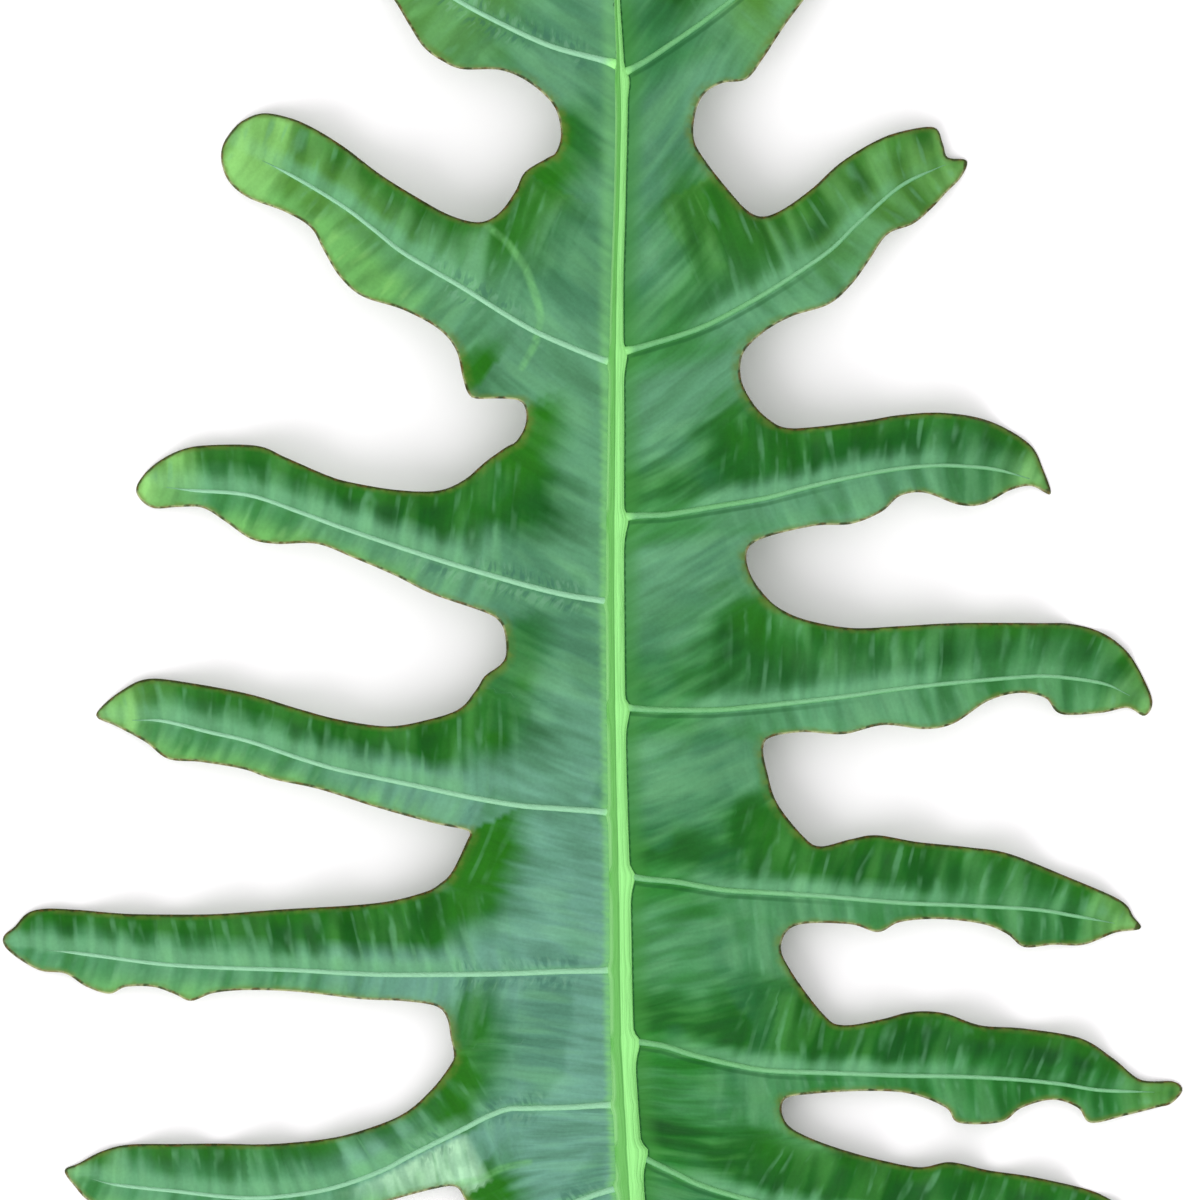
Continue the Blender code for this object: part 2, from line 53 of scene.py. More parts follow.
PETIOLE_JOIN = (637, 1320)
APEX = (628, -520)
PHOTO_CENTRE = (600, 600)
PHOTO_SIDE = 1200

MM = 1000  # millimetres in a metre, for what the colours and folds follow

# The blade's form, as in the solid, in metres
DROOP_POWER = 3.2
PANEL_CROWN = 0.0026
PANEL_HALF_WIDTH = 0.016
WAVE_HEIGHT = 0.0024
WAVE_LENGTH = 0.040
WAVE_WIDEST = 1.4
WAVE_STARTS = 0.055
WAVE_FULL = 0.085
WAVE_ENDS = 0.012
LOBE_PHASE = 1.7
EDGE_PHASE = 0.9
LOBE_HALF_WIDTH = 0.015
LOBE_PARTING = 0.012
APEX_REACH = 0.035
BLADE_END = -0.012

# The blade's thickness, in metres
BLADE_ABOVE = 0.00036  # from the middle of the blade to its upper face
BLADE_BELOW = 0.00026
EDGE_THINNING = 0.5  # share of that thickness left at the margin
EDGE_BAND = 0.003
THINNEST = 0.00031  # least thickness, where the blade rests on the surface

# Small folds beside the side veins, and a faint swell all over
FOLD_HEIGHT = 0.00077
FOLD_BAND = 7.0  # in millimetres, as are the next two
FOLD_LENGTH = 4.5
FOLD_WIDTH = 12.0
SWELL_HEIGHT = 0.000315
SWELLS_IN_A_METRE = 90

# The side veins, in metres, with those that differ given for the left (-1) and the right (1)
VEIN_WIDTH = 0.0026
VEIN_HEIGHT = 0.0008
VEIN_END_SHARE = 0.6  # of its width and height that a side vein keeps out to its end
VEIN_FADE = 0.016  # how far before its end a side vein starts to sink into the blade
SUNK_WIDTH = 0.35  # share of its width that it has left once it has sunk
SUNK_HEIGHT = 0.1  # and of its height
VEIN_SHIFT = {-1: 0.0003, 1: 0.00015}  # towards the leaf's tip
ROOT_FLARE = 0.9  # how much wider a side vein is at its root
ROOT_REACH = 0.0035
JUNCTION_FLARE = {-1: 0.25, 1: 0.5}  # how much wider the midrib is where a side vein leaves it
FLARE_BELOW = {-1: 0.0026, 1: 0.0065}
FLARE_ABOVE = 0.0022
FLARES_FULL = 0.01  # y from which these are full, fading from there to the cut end

# How the colouring is shared out between the side veins
OUTER_PANEL = 0.06  # width given to the panels beyond the first and the last side vein
PANELS_PER_SIDE = 20
PAST_TIP = 0.04  # how far a side vein's colouring is carried on past its end
VEIN_BLEND = 0.004  # over which one side vein's colouring gives way to the next one's
STREAKED_VEIN = 7  # the left side vein with a pale streak

# Mesh sizes, in metres
EDGE_STEP = 0.0012
FACE_STEP = 0.002
EDGE_CLEARANCE = 0.55  # share of a step that the inner points stay clear of the margin
FORM_STEP = 0.013
VEIN_STEP = 0.0012
MIDRIB_STEP = 0.002
VEIN_SIDES = 12
MIDRIB_SIDES = 28
CUT_CORNER = 60  # degrees past which the midrib's shading breaks

# Light, camera and floor, in metres and degrees
EXPOSURE = 1.31  # light on the leaf, where 1 shows a white surface as white
SHEEN = 0.011  # light that its skin reflects whatever its colour
DARKEST = 0.002  # least paint of each colour
SUN_FROM = (-0.8, -1.0, 0.9)
SUN_STRENGTH = 1.7
SUN_SPREAD = 60
SKY_STRENGTH = 1.08
CAMERA_HEIGHT = 8.0
CAMERA_REACH = 100
VIEW_PLANE = 0.010  # height at which the drawing's scale is met
FLOOR_SIDE = 12.0
FLOOR_GAP = 0.0003
FLOOR_WHITE = (0.945, 0.925, 0.94, 1)
FLOOR_LIGHT = (0.955, 0.935, 0.95, 1)

# Midrib and petiole: y, x of the centre line, full width, all in pixels, from tip to cut end
MIDRIB = [
    (-512, 628, 2.5), (-350, 623, 4), (-150, 618, 5.5), (0, 617, 6), (62, 620, 8), (86, 621, 13),
    (190, 620, 12), (290, 617, 13), (415, 616, 17), (600, 615, 19), (772, 617, 19.5),
    (900, 620, 22), (1034, 622, 24), (1149, 628, 27), (1240, 633, 30), (1320, 637, 32),
    (1500, 639, 33), (1750, 640, 34),
]
TIP_END = (PETIOLE_JOIN[1] - MIDRIB[0][0]) * PIXEL
CUT_END = (PETIOLE_JOIN[1] - MIDRIB[-1][0]) * PIXEL

# Heights along the leaf, in metres: y from the origin, value
MIDRIB_HEIGHT = [
    (-0.175, 0.0056), (-0.09, 0.0056), (0.0, 0.0056), (0.08, 0.0095), (0.18, 0.016),
    (0.30, 0.022), (0.42, 0.0235), (0.54, 0.019), (0.64, 0.010), (0.70, 0.0045), (0.735, 0.0005),
]
RIB_ABOVE = [
    (-0.175, 0.0060), (-0.02, 0.0058), (0.03, 0.0040), (0.10, 0.0026), (0.30, 0.0020),
    (0.49, 0.0015), (0.53, 0.0008), (0.735, 0.0003),
]
RIB_BELOW = [
    (-0.175, 0.0062), (0.0, 0.0062), (0.06, 0.0058), (0.20, 0.0050), (0.35, 0.0038),
    (0.50, 0.0020), (0.60, 0.0010), (0.735, 0.0002),
]

# Pale lines: across the root of the highest left lobe that the photograph shows whole, and along
# a fold by the lowest left notch that it shows
PALE_ARCS = [
    [(486, 225), (508, 243), (526, 269), (538, 303), (541, 320), (535, 345), (522, 368)],
    [(458, 1184), (480, 1179), (502, 1168), (530, 1162)],
]

# For each lobe from the leaf's tip down: how dark its upper half is, that darkness partly its own green
# and partly painted shade, how lime its lower half is, and how pale its end
LEFT_LOOKS = [
    (0.6, 1.0, 0.5), (0.6, 1.0, 0.3), (0.45, 1.3, 0.65), (1.15, 1.0, 0.7), (1.15, 1.0, 0.6),
    (1.1, 0.6, 0.0), (0.6, 0.8, 0.2), (0.6, 0.8, 0.3), (0.9, 0.6, 0.3), (0.9, 0.6, 0.3),
]
RIGHT_LOOKS = [
    (0.8, 0.0, 0.5), (0.8, 0.0, 0.3), (0.6, 0.0, 0.25), (1.0, 0.0, 0.45), (0.75, 0.0, 0.35),
    (1.1, 0.0, 0.5), (1.2, 0.0, 0.35), (1.2, 0.0, 0.2), (1.2, 0.0, 0.3), (1.2, 0.0, 0.3),
]

# Lobes from the tip of the leaf down: each one's upper edge out to its tip, its lower edge back
# to the notch below, and its side vein from the midrib out
LEFT_LOBES = [{
    "out": [(600, -478), (572, -430), (553, -380), (545, -335), (552, -300), (570, -280), (558, -268),
        (530, -271), (495, -290), (460, -318), (425, -338)],
    "tip": (402, -336),
    "back": [(404, -312), (424, -285), (446, -252), (470, -222), (498, -198), (528, -177), (552, -158),
        (562, -137), (562, -116)],
    "vein": [(616, -190), (590, -205), (545, -230), (500, -258), (460, -288), (428, -314)],
}, {
    "out": [(548, -104), (515, -100), (478, -112), (440, -128), (402, -138), (368, -138), (344, -122)],
    "tip": (336, -98),
    "back": [(342, -72), (356, -48), (374, -24), (394, 0), (409, 25), (424, 48), (443, 62), (463, 70),
        (501, 71), (530, 84), (554, 107), (561, 134), (556, 153)],
    "vein": [(617, 66), (600, 61), (558, 50), (530, 39), (501, 25), (472, 10), (440, -10), (400, -45),
        (368, -78)],
}, {
    "out": [(547, 159), (525, 173), (515, 193), (499, 214), (479, 223), (451, 216), (419, 199),
        (382, 176), (344, 147), (311, 127), (287, 117), (262, 113), (241, 121), (227, 136)],
    "tip": (221, 150),
    "back": [(222, 166), (230, 183), (249, 198), (285, 212), (311, 228), (324, 251), (340, 277),
        (363, 297), (403, 310), (438, 329), (456, 350), (463, 378), (468, 393), (476, 399), (499, 399),
        (519, 401), (526, 411), (525, 427), (516, 442)],
    "vein": [(617, 364), (600, 360), (558, 343), (530, 330), (501, 313), (463, 289), (430, 270),
        (399, 251), (373, 230), (344, 208), (300, 181), (262, 161)],
}, {
    "out": [(507, 447), (487, 461), (463, 481), (436, 491), (396, 490), (354, 483), (329, 476),
        (287, 458), (258, 446), (210, 445), (180, 450), (153, 465), (137, 484)],
    "tip": (138, 497),
    "back": [(153, 508), (178, 507), (203, 508), (226, 522), (251, 539), (277, 544), (317, 544),
        (354, 558), (396, 576), (432, 594), (484, 612), (499, 621), (505, 634), (506, 655)],
    "vein": [(617, 603), (600, 601), (568, 596), (530, 587), (491, 576), (453, 565), (415, 553),
        (382, 542), (338, 527), (300, 513), (249, 496), (191, 491), (166, 488)],
}, {
    "out": [(500, 665), (485, 676), (476, 690), (459, 709), (426, 720), (388, 726), (342, 720),
        (300, 709), (249, 694), (191, 683), (147, 679), (119, 692), (99, 709)],
    "tip": (97, 718),
    "back": [(115, 726), (145, 742), (168, 759), (201, 762), (243, 769), (272, 779), (319, 789),
        (376, 807), (434, 823), (463, 829), (470, 833)],
    "vein": [(617, 814), (600, 812), (558, 809), (520, 806), (472, 798), (434, 790), (386, 780),
        (338, 770), (300, 759), (249, 742), (210, 733), (164, 722), (132, 721)],
}, {
    "out": [(467, 841), (453, 870), (442, 882), (424, 892), (376, 903), (300, 908), (210, 914),
        (134, 914), (76, 910), (44, 909), (26, 914), (14, 927), (5, 934)],
    "tip": (2, 940),
    "back": [(5, 948), (18, 959), (40, 971), (65, 974), (86, 987), (109, 994), (126, 987), (153, 987),
        (174, 994), (191, 1001), (214, 993), (249, 990), (300, 992), (361, 999), (403, 1001),
        (436, 1006), (447, 1018), (451, 1038), (454, 1054)],
    "vein": [(619, 969), (600, 971), (558, 972), (510, 974), (453, 975), (376, 975), (300, 971),
        (239, 969), (191, 967), (153, 964), (115, 959), (76, 954), (46, 951)],
}, {
    "out": [(451, 1064), (432, 1089), (403, 1114), (363, 1130), (319, 1140), (268, 1144), (191, 1144),
        (130, 1145), (101, 1152), (78, 1164)],
    "tip": (64, 1171),
    "back": [(74, 1187), (92, 1204), (130, 1217), (180, 1227), (240, 1232), (300, 1227), (355, 1213),
        (396, 1199), (434, 1189), (455, 1187), (464, 1198), (470, 1216)],
    "vein": [(622, 1105), (600, 1106), (568, 1108), (526, 1109), (507, 1110), (484, 1119), (463, 1130),
        (415, 1154), (376, 1174), (319, 1192), (249, 1199), (172, 1192), (115, 1186), (90, 1180)],
}, {
    "out": [(466, 1236), (446, 1252), (416, 1264), (370, 1278), (325, 1294), (270, 1304), (215, 1318),
        (165, 1334)],
    "tip": (140, 1352),
    "back": [(160, 1368), (205, 1374), (255, 1366), (310, 1364), (368, 1352), (430, 1350), (470, 1357),
        (486, 1374)],
    "vein": [(630, 1186), (600, 1194), (560, 1210), (508, 1240), (450, 1278), (390, 1306), (320, 1328),
        (250, 1341), (185, 1350)],
}, {
    "out": [(478, 1392), (455, 1408), (420, 1426), (380, 1452), (335, 1476), (290, 1500), (262, 1518)],
    "tip": (250, 1538),
    "back": [(272, 1553), (312, 1548), (355, 1528), (396, 1512), (445, 1482), (490, 1460), (522, 1453),
        (539, 1466)],
    "vein": [(633, 1262), (600, 1294), (556, 1346), (512, 1398), (466, 1434), (420, 1461), (376, 1485),
        (330, 1507), (288, 1525)],
}, {
    "out": [(530, 1486), (510, 1514), (490, 1546), (474, 1582), (465, 1618)],
    "tip": (472, 1655),
    "back": [(498, 1640), (522, 1600), (545, 1552), (565, 1502), (582, 1456), (597, 1416), (608, 1386),
        (614, 1362)],
    "vein": [(636, 1316), (612, 1354), (576, 1422), (542, 1492), (510, 1562), (488, 1620)],
}]
RIGHT_LOBES = [{
    "out": [(660, -482), (688, -436), (705, -388), (712, -345), (704, -312), (688, -292), (698, -279),
        (726, -282), (760, -304), (796, -330), (832, -346)],
    "tip": (856, -338),
    "back": [(850, -312), (828, -282), (800, -250), (772, -220), (744, -196), (722, -174), (708, -150),
        (703, -124)],
    "vein": [(620, -200), (650, -214), (700, -238), (750, -268), (795, -300), (832, -326)],
}, {
    "out": [(716, -109), (750, -110), (790, -128), (830, -146), (866, -152)],
    "tip": (890, -138),
    "back": [(886, -112), (866, -84), (846, -54), (826, -28), (804, 0), (784, 27), (763, 59), (746, 80),
        (722, 84), (704, 95), (695, 115), (694, 141), (707, 164), (730, 193), (747, 211)],
    "vein": [(620, 76), (646, 62), (667, 48), (692, 31), (715, 14), (745, -10), (790, -52), (835, -95),
        (864, -122)],
}, {
    "out": [(763, 217), (784, 209), (812, 189), (839, 164), (872, 143), (900, 132), (934, 127),
        (943, 143), (948, 157)],
    "tip": (967, 160),
    "back": [(962, 176), (946, 193), (932, 208), (913, 224), (887, 235), (868, 262), (851, 285),
        (828, 305), (791, 317), (763, 333), (743, 354), (741, 380), (753, 404), (769, 420)],
    "vein": [(620, 353), (640, 348), (686, 334), (715, 322), (757, 299), (791, 278), (830, 251),
        (858, 224), (900, 187), (938, 168), (946, 165)],
}, {
    "out": [(786, 428), (816, 427), (864, 421), (900, 415), (944, 413), (990, 421), (1030, 444),
        (1044, 470)],
    "tip": (1051, 494),
    "back": [(1032, 486), (1011, 490), (984, 504), (959, 505), (925, 493), (900, 496), (881, 512),
        (851, 524), (814, 526), (764, 538), (747, 551), (750, 574), (766, 597)],
    "vein": [(620, 518), (640, 516), (667, 515), (715, 507), (763, 499), (810, 487), (849, 478),
        (900, 469), (938, 466), (967, 467), (996, 470), (1030, 479)],
}, {
    "out": [(784, 611), (810, 621), (853, 628), (900, 626), (957, 623), (1038, 623), (1072, 624),
        (1103, 633), (1128, 652), (1145, 680), (1153, 703)],
    "tip": (1145, 716),
    "back": [(1128, 708), (1101, 713), (1061, 714), (1045, 698), (1019, 693), (988, 701), (954, 723),
        (925, 729), (883, 725), (843, 734), (803, 732), (771, 737), (763, 748), (767, 772), (777, 803),
        (803, 836)],
    "vein": [(618, 707), (657, 710), (715, 710), (753, 707), (810, 701), (858, 695), (900, 689),
        (957, 683), (1015, 678), (1053, 677), (1103, 684), (1130, 696)],
}, {
    "out": [(820, 846), (851, 839), (877, 835), (919, 842), (967, 847), (1007, 853), (1063, 875),
        (1120, 900), (1134, 917)],
    "tip": (1141, 929),
    "back": [(1116, 933), (1084, 945), (1053, 945), (1024, 947), (1007, 934), (982, 924), (938, 919),
        (900, 922), (878, 932), (849, 924), (797, 925), (781, 945), (791, 971), (824, 1015)],
    "vein": [(620, 874), (645, 879), (676, 882), (724, 890), (772, 893), (830, 897), (900, 903),
        (967, 906), (1034, 910), (1072, 916), (1115, 924)],
}, {
    "out": [(843, 1025), (881, 1019), (911, 1012), (944, 1013), (980, 1025), (1026, 1029), (1080, 1038),
        (1114, 1059), (1141, 1080), (1174, 1082)],
    "tip": (1183, 1091),
    "back": [(1172, 1104), (1158, 1108), (1126, 1116), (1091, 1123), (1078, 1108), (1053, 1100),
        (1022, 1108), (1001, 1122), (959, 1123), (946, 1108), (911, 1094), (868, 1091), (810, 1094),
        (784, 1100), (785, 1121)],
    "vein": [(623, 1040), (663, 1046), (692, 1055), (734, 1065), (772, 1071), (849, 1074), (900, 1076),
        (957, 1077), (1015, 1080), (1063, 1085), (1101, 1091), (1155, 1093)],
}, {
    "out": [(806, 1136), (854, 1153), (915, 1167), (950, 1162), (990, 1171), (1034, 1177), (1084, 1189),
        (1107, 1198), (1132, 1214)],
    "tip": (1152, 1242),
    "back": [(1136, 1256), (1108, 1254), (1078, 1247), (1048, 1252), (1016, 1265), (980, 1268),
        (948, 1257), (915, 1247), (872, 1243), (830, 1247), (800, 1254), (787, 1272)],
    "vein": [(628, 1150), (657, 1165), (676, 1174), (699, 1185), (740, 1198), (800, 1212), (870, 1222),
        (940, 1228), (1010, 1234), (1080, 1239), (1122, 1241)],
}, {
    "out": [(800, 1294), (830, 1308), (870, 1322), (915, 1340), (960, 1362), (1005, 1388), (1045, 1418),
        (1072, 1446)],
    "tip": (1080, 1468),
    "back": [(1060, 1475), (1034, 1468), (1004, 1462), (970, 1467), (930, 1461), (890, 1446),
        (845, 1428), (805, 1414), (772, 1406), (748, 1412), (737, 1432)],
    "vein": [(634, 1254), (700, 1290), (770, 1330), (850, 1372), (930, 1412), (1000, 1442),
        (1046, 1458)],
}, {
    "out": [(746, 1452), (768, 1482), (790, 1516), (808, 1552), (820, 1590)],
    "tip": (814, 1658),
    "back": [(794, 1646), (774, 1612), (750, 1565), (728, 1518), (708, 1470), (692, 1428), (678, 1392),
        (668, 1370), (661, 1356)],
    "vein": [(638, 1316), (668, 1354), (702, 1422), (735, 1492), (765, 1557), (792, 1620)],
}]


def place(points):
    """Drawing pixels to metres in the leaf's own frame."""
    at = np.array(points, dtype=float)
    return np.stack([at[:, 0] - PETIOLE_JOIN[0], PETIOLE_JOIN[1] - at[:, 1]], axis=1) * PIXEL


def smooth_path(points, step):
    """Points on the smooth curve through all of the given points, about a step apart."""
    ends = np.vstack([2 * points[0] - points[1], points, 2 * points[-1] - points[-2]])
    path = []
    for before, start, end, after in zip(ends, ends[1:], ends[2:], ends[3:]):
        count = max(1, round(np.linalg.norm(end - start) / step))
        s = (np.arange(count) / count)[:, None]
        leaving, arriving = (end - before) / 2, (after - start) / 2
        bend = 3 * (end - start) - 2 * leaving - arriving
        twist = 2 * (start - end) + leaving + arriving
        path.append(start + leaving * s + bend * s**2 + twist * s**3)
    return np.vstack(path + [points[-1:]])


def values_between(table, at):
    """Smooth values through (place, value) pairs, held constant past both ends."""
    x, value = np.array(sorted(table), dtype=float).T
    slope = np.gradient(value, x)
    i = np.clip(np.searchsorted(x, at) - 1, 0, len(x) - 2)
    length = x[i + 1] - x[i]
    s = np.clip((at - x[i]) / length, 0, 1)
    start = (1 + 2 * s) * (1 - s) ** 2 * value[i] + s * (1 - s) ** 2 * length * slope[i]
    end = s**2 * (3 - 2 * s) * value[i + 1] + s**2 * (s - 1) * length * slope[i + 1]
    return start + end


def smooth_step(low, high, at):
    """0 below low, 1 above high, with an even change between."""
    s = np.clip((at - low) / (high - low), 0, 1)
    return s * s * (3 - 2 * s)


def smooth_fall(low, high, at):
    """1 below low, 0 above high."""
    return 1 - smooth_step(low, high, at)


def midrib_table():
    """y, x of the centre line and half width, in metres."""
    y, x, width = np.array(MIDRIB, dtype=float).T
    centre = place(np.stack([x, y], axis=1))
    return centre[:, 1], centre[:, 0], width * PIXEL / 2


def midrib_x(y):
    at, x, _ = midrib_table()
    return values_between(list(zip(at, x)), y)


def midrib_half_width(y):
    at, _, half = midrib_table()
    return np.interp(y, at[::-1], half[::-1])


def near_path(path, points):
    """Distance of each point to a path, how far along the path that is, and its side of it."""
    start, run = path[:-1], np.diff(path, axis=0)
    length = np.linalg.norm(run, axis=1)
    along = np.concatenate([[0], np.cumsum(length)[:-1]])
    offset = points[:, None, :] - start[None]
    s = np.clip((offset * run).sum(axis=2) / length**2, 0, 1)
    away = offset - s[..., None] * run
    distance = np.linalg.norm(away, axis=2)
    k = distance.argmin(axis=1)
    row = np.arange(len(points))
    side = np.sign(run[k, 0] * away[row, k, 1] - run[k, 1] * away[row, k, 0])
    return distance[row, k], along[k] + s[row, k] * length[k], side


def vein_paths(lobes, step):
    return [smooth_path(place(lobe["vein"]), step) for lobe in lobes]


def path_length(path):
    return np.linalg.norm(np.diff(path, axis=0), axis=1).sum()


def taper(path, along):
    """The share of its full size that a side vein still has, a distance along its path."""
    return 1 + (VEIN_END_SHARE - 1) * np.clip(along / path_length(path), 0, 1)


def lobe_waves(lobes, points):
    """Height of one side's waved edges, and how far each point is from the nearest vein."""
    nearest = np.full(len(points), np.inf)
    second = np.full(len(points), np.inf)
    wave = np.zeros(len(points))
    for number, path in enumerate(vein_paths(lobes, FORM_STEP)):
        away, along, side = near_path(path, points)
        length = path_length(path)
        turn = 2 * math.pi * along / WAVE_LENGTH + number * LOBE_PHASE + side * EDGE_PHASE
        free = smooth_step(WAVE_STARTS, WAVE_FULL, along)
        free *= smooth_fall(length - WAVE_ENDS, length, along)
        size = WAVE_HEIGHT * np.clip(away / LOBE_HALF_WIDTH, 0, WAVE_WIDEST) ** 2
        wave = np.where(away < nearest, size * free * np.sin(turn), wave)
        second = np.minimum(second, np.maximum(nearest, away))
        nearest = np.minimum(nearest, away)
    return wave * smooth_step(0, LOBE_PARTING, second - nearest), nearest


def blade_form(points):
    """Height of the middle of the blade, before ribs."""
    offset = points[:, 0] - midrib_x(points[:, 1])
    height = np.zeros(len(points))
    for lobes, on_side in ((LEFT_LOBES, offset < 0), (RIGHT_LOBES, offset >= 0)):
        at, off = points[on_side], np.abs(offset[on_side])
        tips = place([lobe["tip"] for lobe in lobes])
        reach = [(tip[1], abs(tip[0] - midrib_x(tip[1:])[0])) for tip in tips]
        reach.append((place([APEX])[0, 1], APEX_REACH))
        share = np.clip(off / values_between(reach, at[:, 1]), 0, 1)
        droop = values_between(MIDRIB_HEIGHT, at[:, 1]) * (1 - share**DROOP_POWER)
        wave, from_vein = lobe_waves(lobes, at)
        from_rib = np.minimum(from_vein, off) / PANEL_HALF_WIDTH
        crown = PANEL_CROWN * (1 - np.exp(-(from_rib**2))) * (1 - share**2)
        off_midrib = smooth_step(0, LOBE_HALF_WIDTH, off - midrib_half_width(at[:, 1]))
        height[on_side] = droop + off_midrib * (wave + crown)
    return height


def midrib_edge(y, side):
    """Half width of the midrib on its left (-1) or right (1) side, wider at each side vein."""
    lobes = RIGHT_LOBES if side > 0 else LEFT_LOBES
    flare = np.zeros(len(y))
    for path in vein_paths(lobes, FORM_STEP):
        joint = path[0, 1]
        reach = np.where(y < joint, FLARE_BELOW[side], FLARE_ABOVE)
        flare = np.maximum(flare, np.exp(-(((y - joint) / reach) ** 2)))
    flare *= JUNCTION_FLARE[side] * smooth_step(CUT_END, FLARES_FULL, y)
    return midrib_half_width(y) * (1 + flare)


def lobed_edge(lobes):
    """One side's edge from the leaf's tip down to the petiole."""
    points = [APEX]
    for lobe in lobes:
        points += lobe["out"] + [lobe["tip"]] + lobe["back"]
    return smooth_path(place(points), EDGE_STEP)


def blade_outline():
    """The blade's plan outline, closed across the inside of the midrib at its foot."""
    y = np.array([BLADE_END, BLADE_END])
    foot = np.stack([midrib_x(y) + midrib_half_width(y) * [-0.5, 0.5], y], axis=1)
    return np.vstack([lobed_edge(LEFT_LOBES), foot, lobed_edge(RIGHT_LOBES)[:0:-1]])


def tree_of(points):
    tree = KDTree(len(points))
    for i, point in enumerate(points):
        tree.insert((*point, 0), i)
    tree.balance()
    return tree


def fill_points(loop, step, tree):
    """Rows of points inside a loop, at the corners of even triangles, and clear of the loop."""
    low, high = loop.min(axis=0), loop.max(axis=0)
    a, b = loop, np.roll(loop, -1, axis=0)
    kept = []
    for k, y in enumerate(np.arange(low[1], high[1], step * math.sqrt(0.75))):
        crosses = (a[:, 1] > y) != (b[:, 1] > y)
        start, end = a[crosses], b[crosses]
        cuts = start[:, 0] + (y - start[:, 1]) * (end - start)[:, 0] / (end - start)[:, 1]
        x = np.arange(low[0] + (k % 2) * step / 2, high[0], step)
        x = x[np.searchsorted(np.sort(cuts), x) % 2 == 1]
        kept += [(px, y) for px in x if tree.find((px, y, 0))[2] > EDGE_CLEARANCE * step]
    return np.array(kept)


def triangulate(loop, field):
    """A plan outline and the points in it, split into triangles."""
    edges = [(i, (i + 1) % len(loop)) for i in range(len(loop))]
    points = [Vector(point) for point in np.vstack([loop, field])]
    found = delaunay_2d_cdt(points, edges, [], 1, 1e-7)
    return np.array([tuple(point) for point in found[0]]), found[2]


def left_tones(away, along):
    """Shares of the colours round a side vein on the left, from millimetres off and along it."""
    lobe = smooth_step(50, 75, along)
    body = smooth_step(15, 50, along)
    above = smooth_step(8, 28, away) * body
    lobe_above = smooth_step(3, 16, away) * lobe
    below = smooth_step(12, 30, -away) * body * smooth_fall(45, 70, along)
    wide_highlight = 0.85 * lobe * smooth_step(-0.8, 0.8, away) * smooth_fall(3.5, 9, away)
    thin_highlight = 0.55 * (away > 0) * smooth_fall(1.2, 3, away)
    # teal is a painted sheen, glow a painted highlight beside the vein, dark partly painted shade
    return {
        "dark": np.maximum(np.maximum(above, lobe_above), below),
        "teal": 1 - 0.7 * smooth_step(80, 150, along),
        "lime": smooth_step(2, 15, -away) * smooth_step(60, 110, along),
        "glow": np.maximum(wide_highlight, thin_highlight),
    }


def right_tones(away, along):
    """The same on the right, which is turned from the light: darker, with a sheen by the veins."""
    outer = smooth_step(20, 50, along)
    far = smooth_step(105, 150, along)
    reopened = smooth_step(13, 28, away) * (1 - outer)
    dark = smooth_step(2, 11, away) * (0.7 + 0.3 * outer) * (1 - reopened) * (1 - 0.4 * far)
    sheen = outer * smooth_fall(6, 20, np.abs(away))
    teal = np.maximum(smooth_step(4, 18, -away), 0.8 * sheen) * (1 - 0.7 * far) + 0.7 * reopened
    glow = smooth_step(-0.5, 1, away) * smooth_fall(2, 7, away) * smooth_step(15, 45, along)
    below = smooth_step(4, 12, -away) * smooth_step(50, 75, along)
    return {
        "dark": np.maximum(dark, 0.3 * far),
        "teal": np.clip(teal + 0.12, 0, 1),
        "lime": np.zeros_like(away),
        "glow": (0.75 * glow + 0.35 * below) * (1 - 0.75 * far),
    }


def lengthened(path):
    """The path carried straight on past its end, out of the lobe's tip."""
    last = path[-1] - path[-2]
    return np.vstack([path, path[-1] + last / np.linalg.norm(last) * PAST_TIP])


def margin_fields(points, loop, tree):
    """Distance from the margin, and how far the margin there faces the leaf's tip."""
    found = [tree.find((*point, 0)) for point in points]
    run = np.roll(loop, -1, axis=0) - np.roll(loop, 1, axis=0)
    facing = -run[:, 0] / np.linalg.norm(run, axis=1)
    edge = np.array([hit[2] for hit in found]) * MM
    return {"edge": edge, "edge_up": facing[[hit[1] for hit in found]]}


def side_fields(at, offset, sign, lobes, looks):
    """The fields that follow the side veins, for points on one side of the midrib."""
    paths = vein_paths(lobes, FORM_STEP)
    hits = [near_path(lengthened(path), at) for path in paths]
    away, along, side = (np.stack(values) for values in zip(*hits))
    side = np.where(side * sign >= 0, 1, -1)
    row = np.arange(len(at))
    k = away.argmin(axis=0)
    nearest, nearest_side = away[k, row], side[k, row]
    beyond = np.clip(k - nearest_side, 0, len(lobes) - 1)
    other = np.where(beyond == k, OUTER_PANEL, away[beyond, row])
    first_panel = PANELS_PER_SIDE * (sign + 1) / 2
    off = np.maximum(np.abs(offset) - midrib_edge(at[:, 1], sign), 0)
    fields = {
        "away": nearest * nearest_side * MM,
        "along": along[k, row] * MM,
        "panel": k - nearest_side * nearest / (nearest + other) + first_panel,
        "apart": smooth_step(0, LOBE_PARTING, np.abs(other - nearest)),
        "off": off * sign * MM,
    }
    tones = (left_tones if sign < 0 else right_tones)(away * side * MM, along * MM)
    darkness, lime, pale_end = np.array(looks).T[:, :, None]
    ends = np.array([path_length(path) for path in paths])[:, None]
    tones["dark"] *= darkness
    tones["lime"] *= lime
    tones["end"] = smooth_step(-0.018, 0.006, along - ends) * pale_end
    weight = np.exp(-(away - nearest) / VEIN_BLEND)
    weight /= weight.sum(axis=0)
    for name, tone in tones.items():
        fields[name] = (weight * tone).sum(axis=0)
    return fields


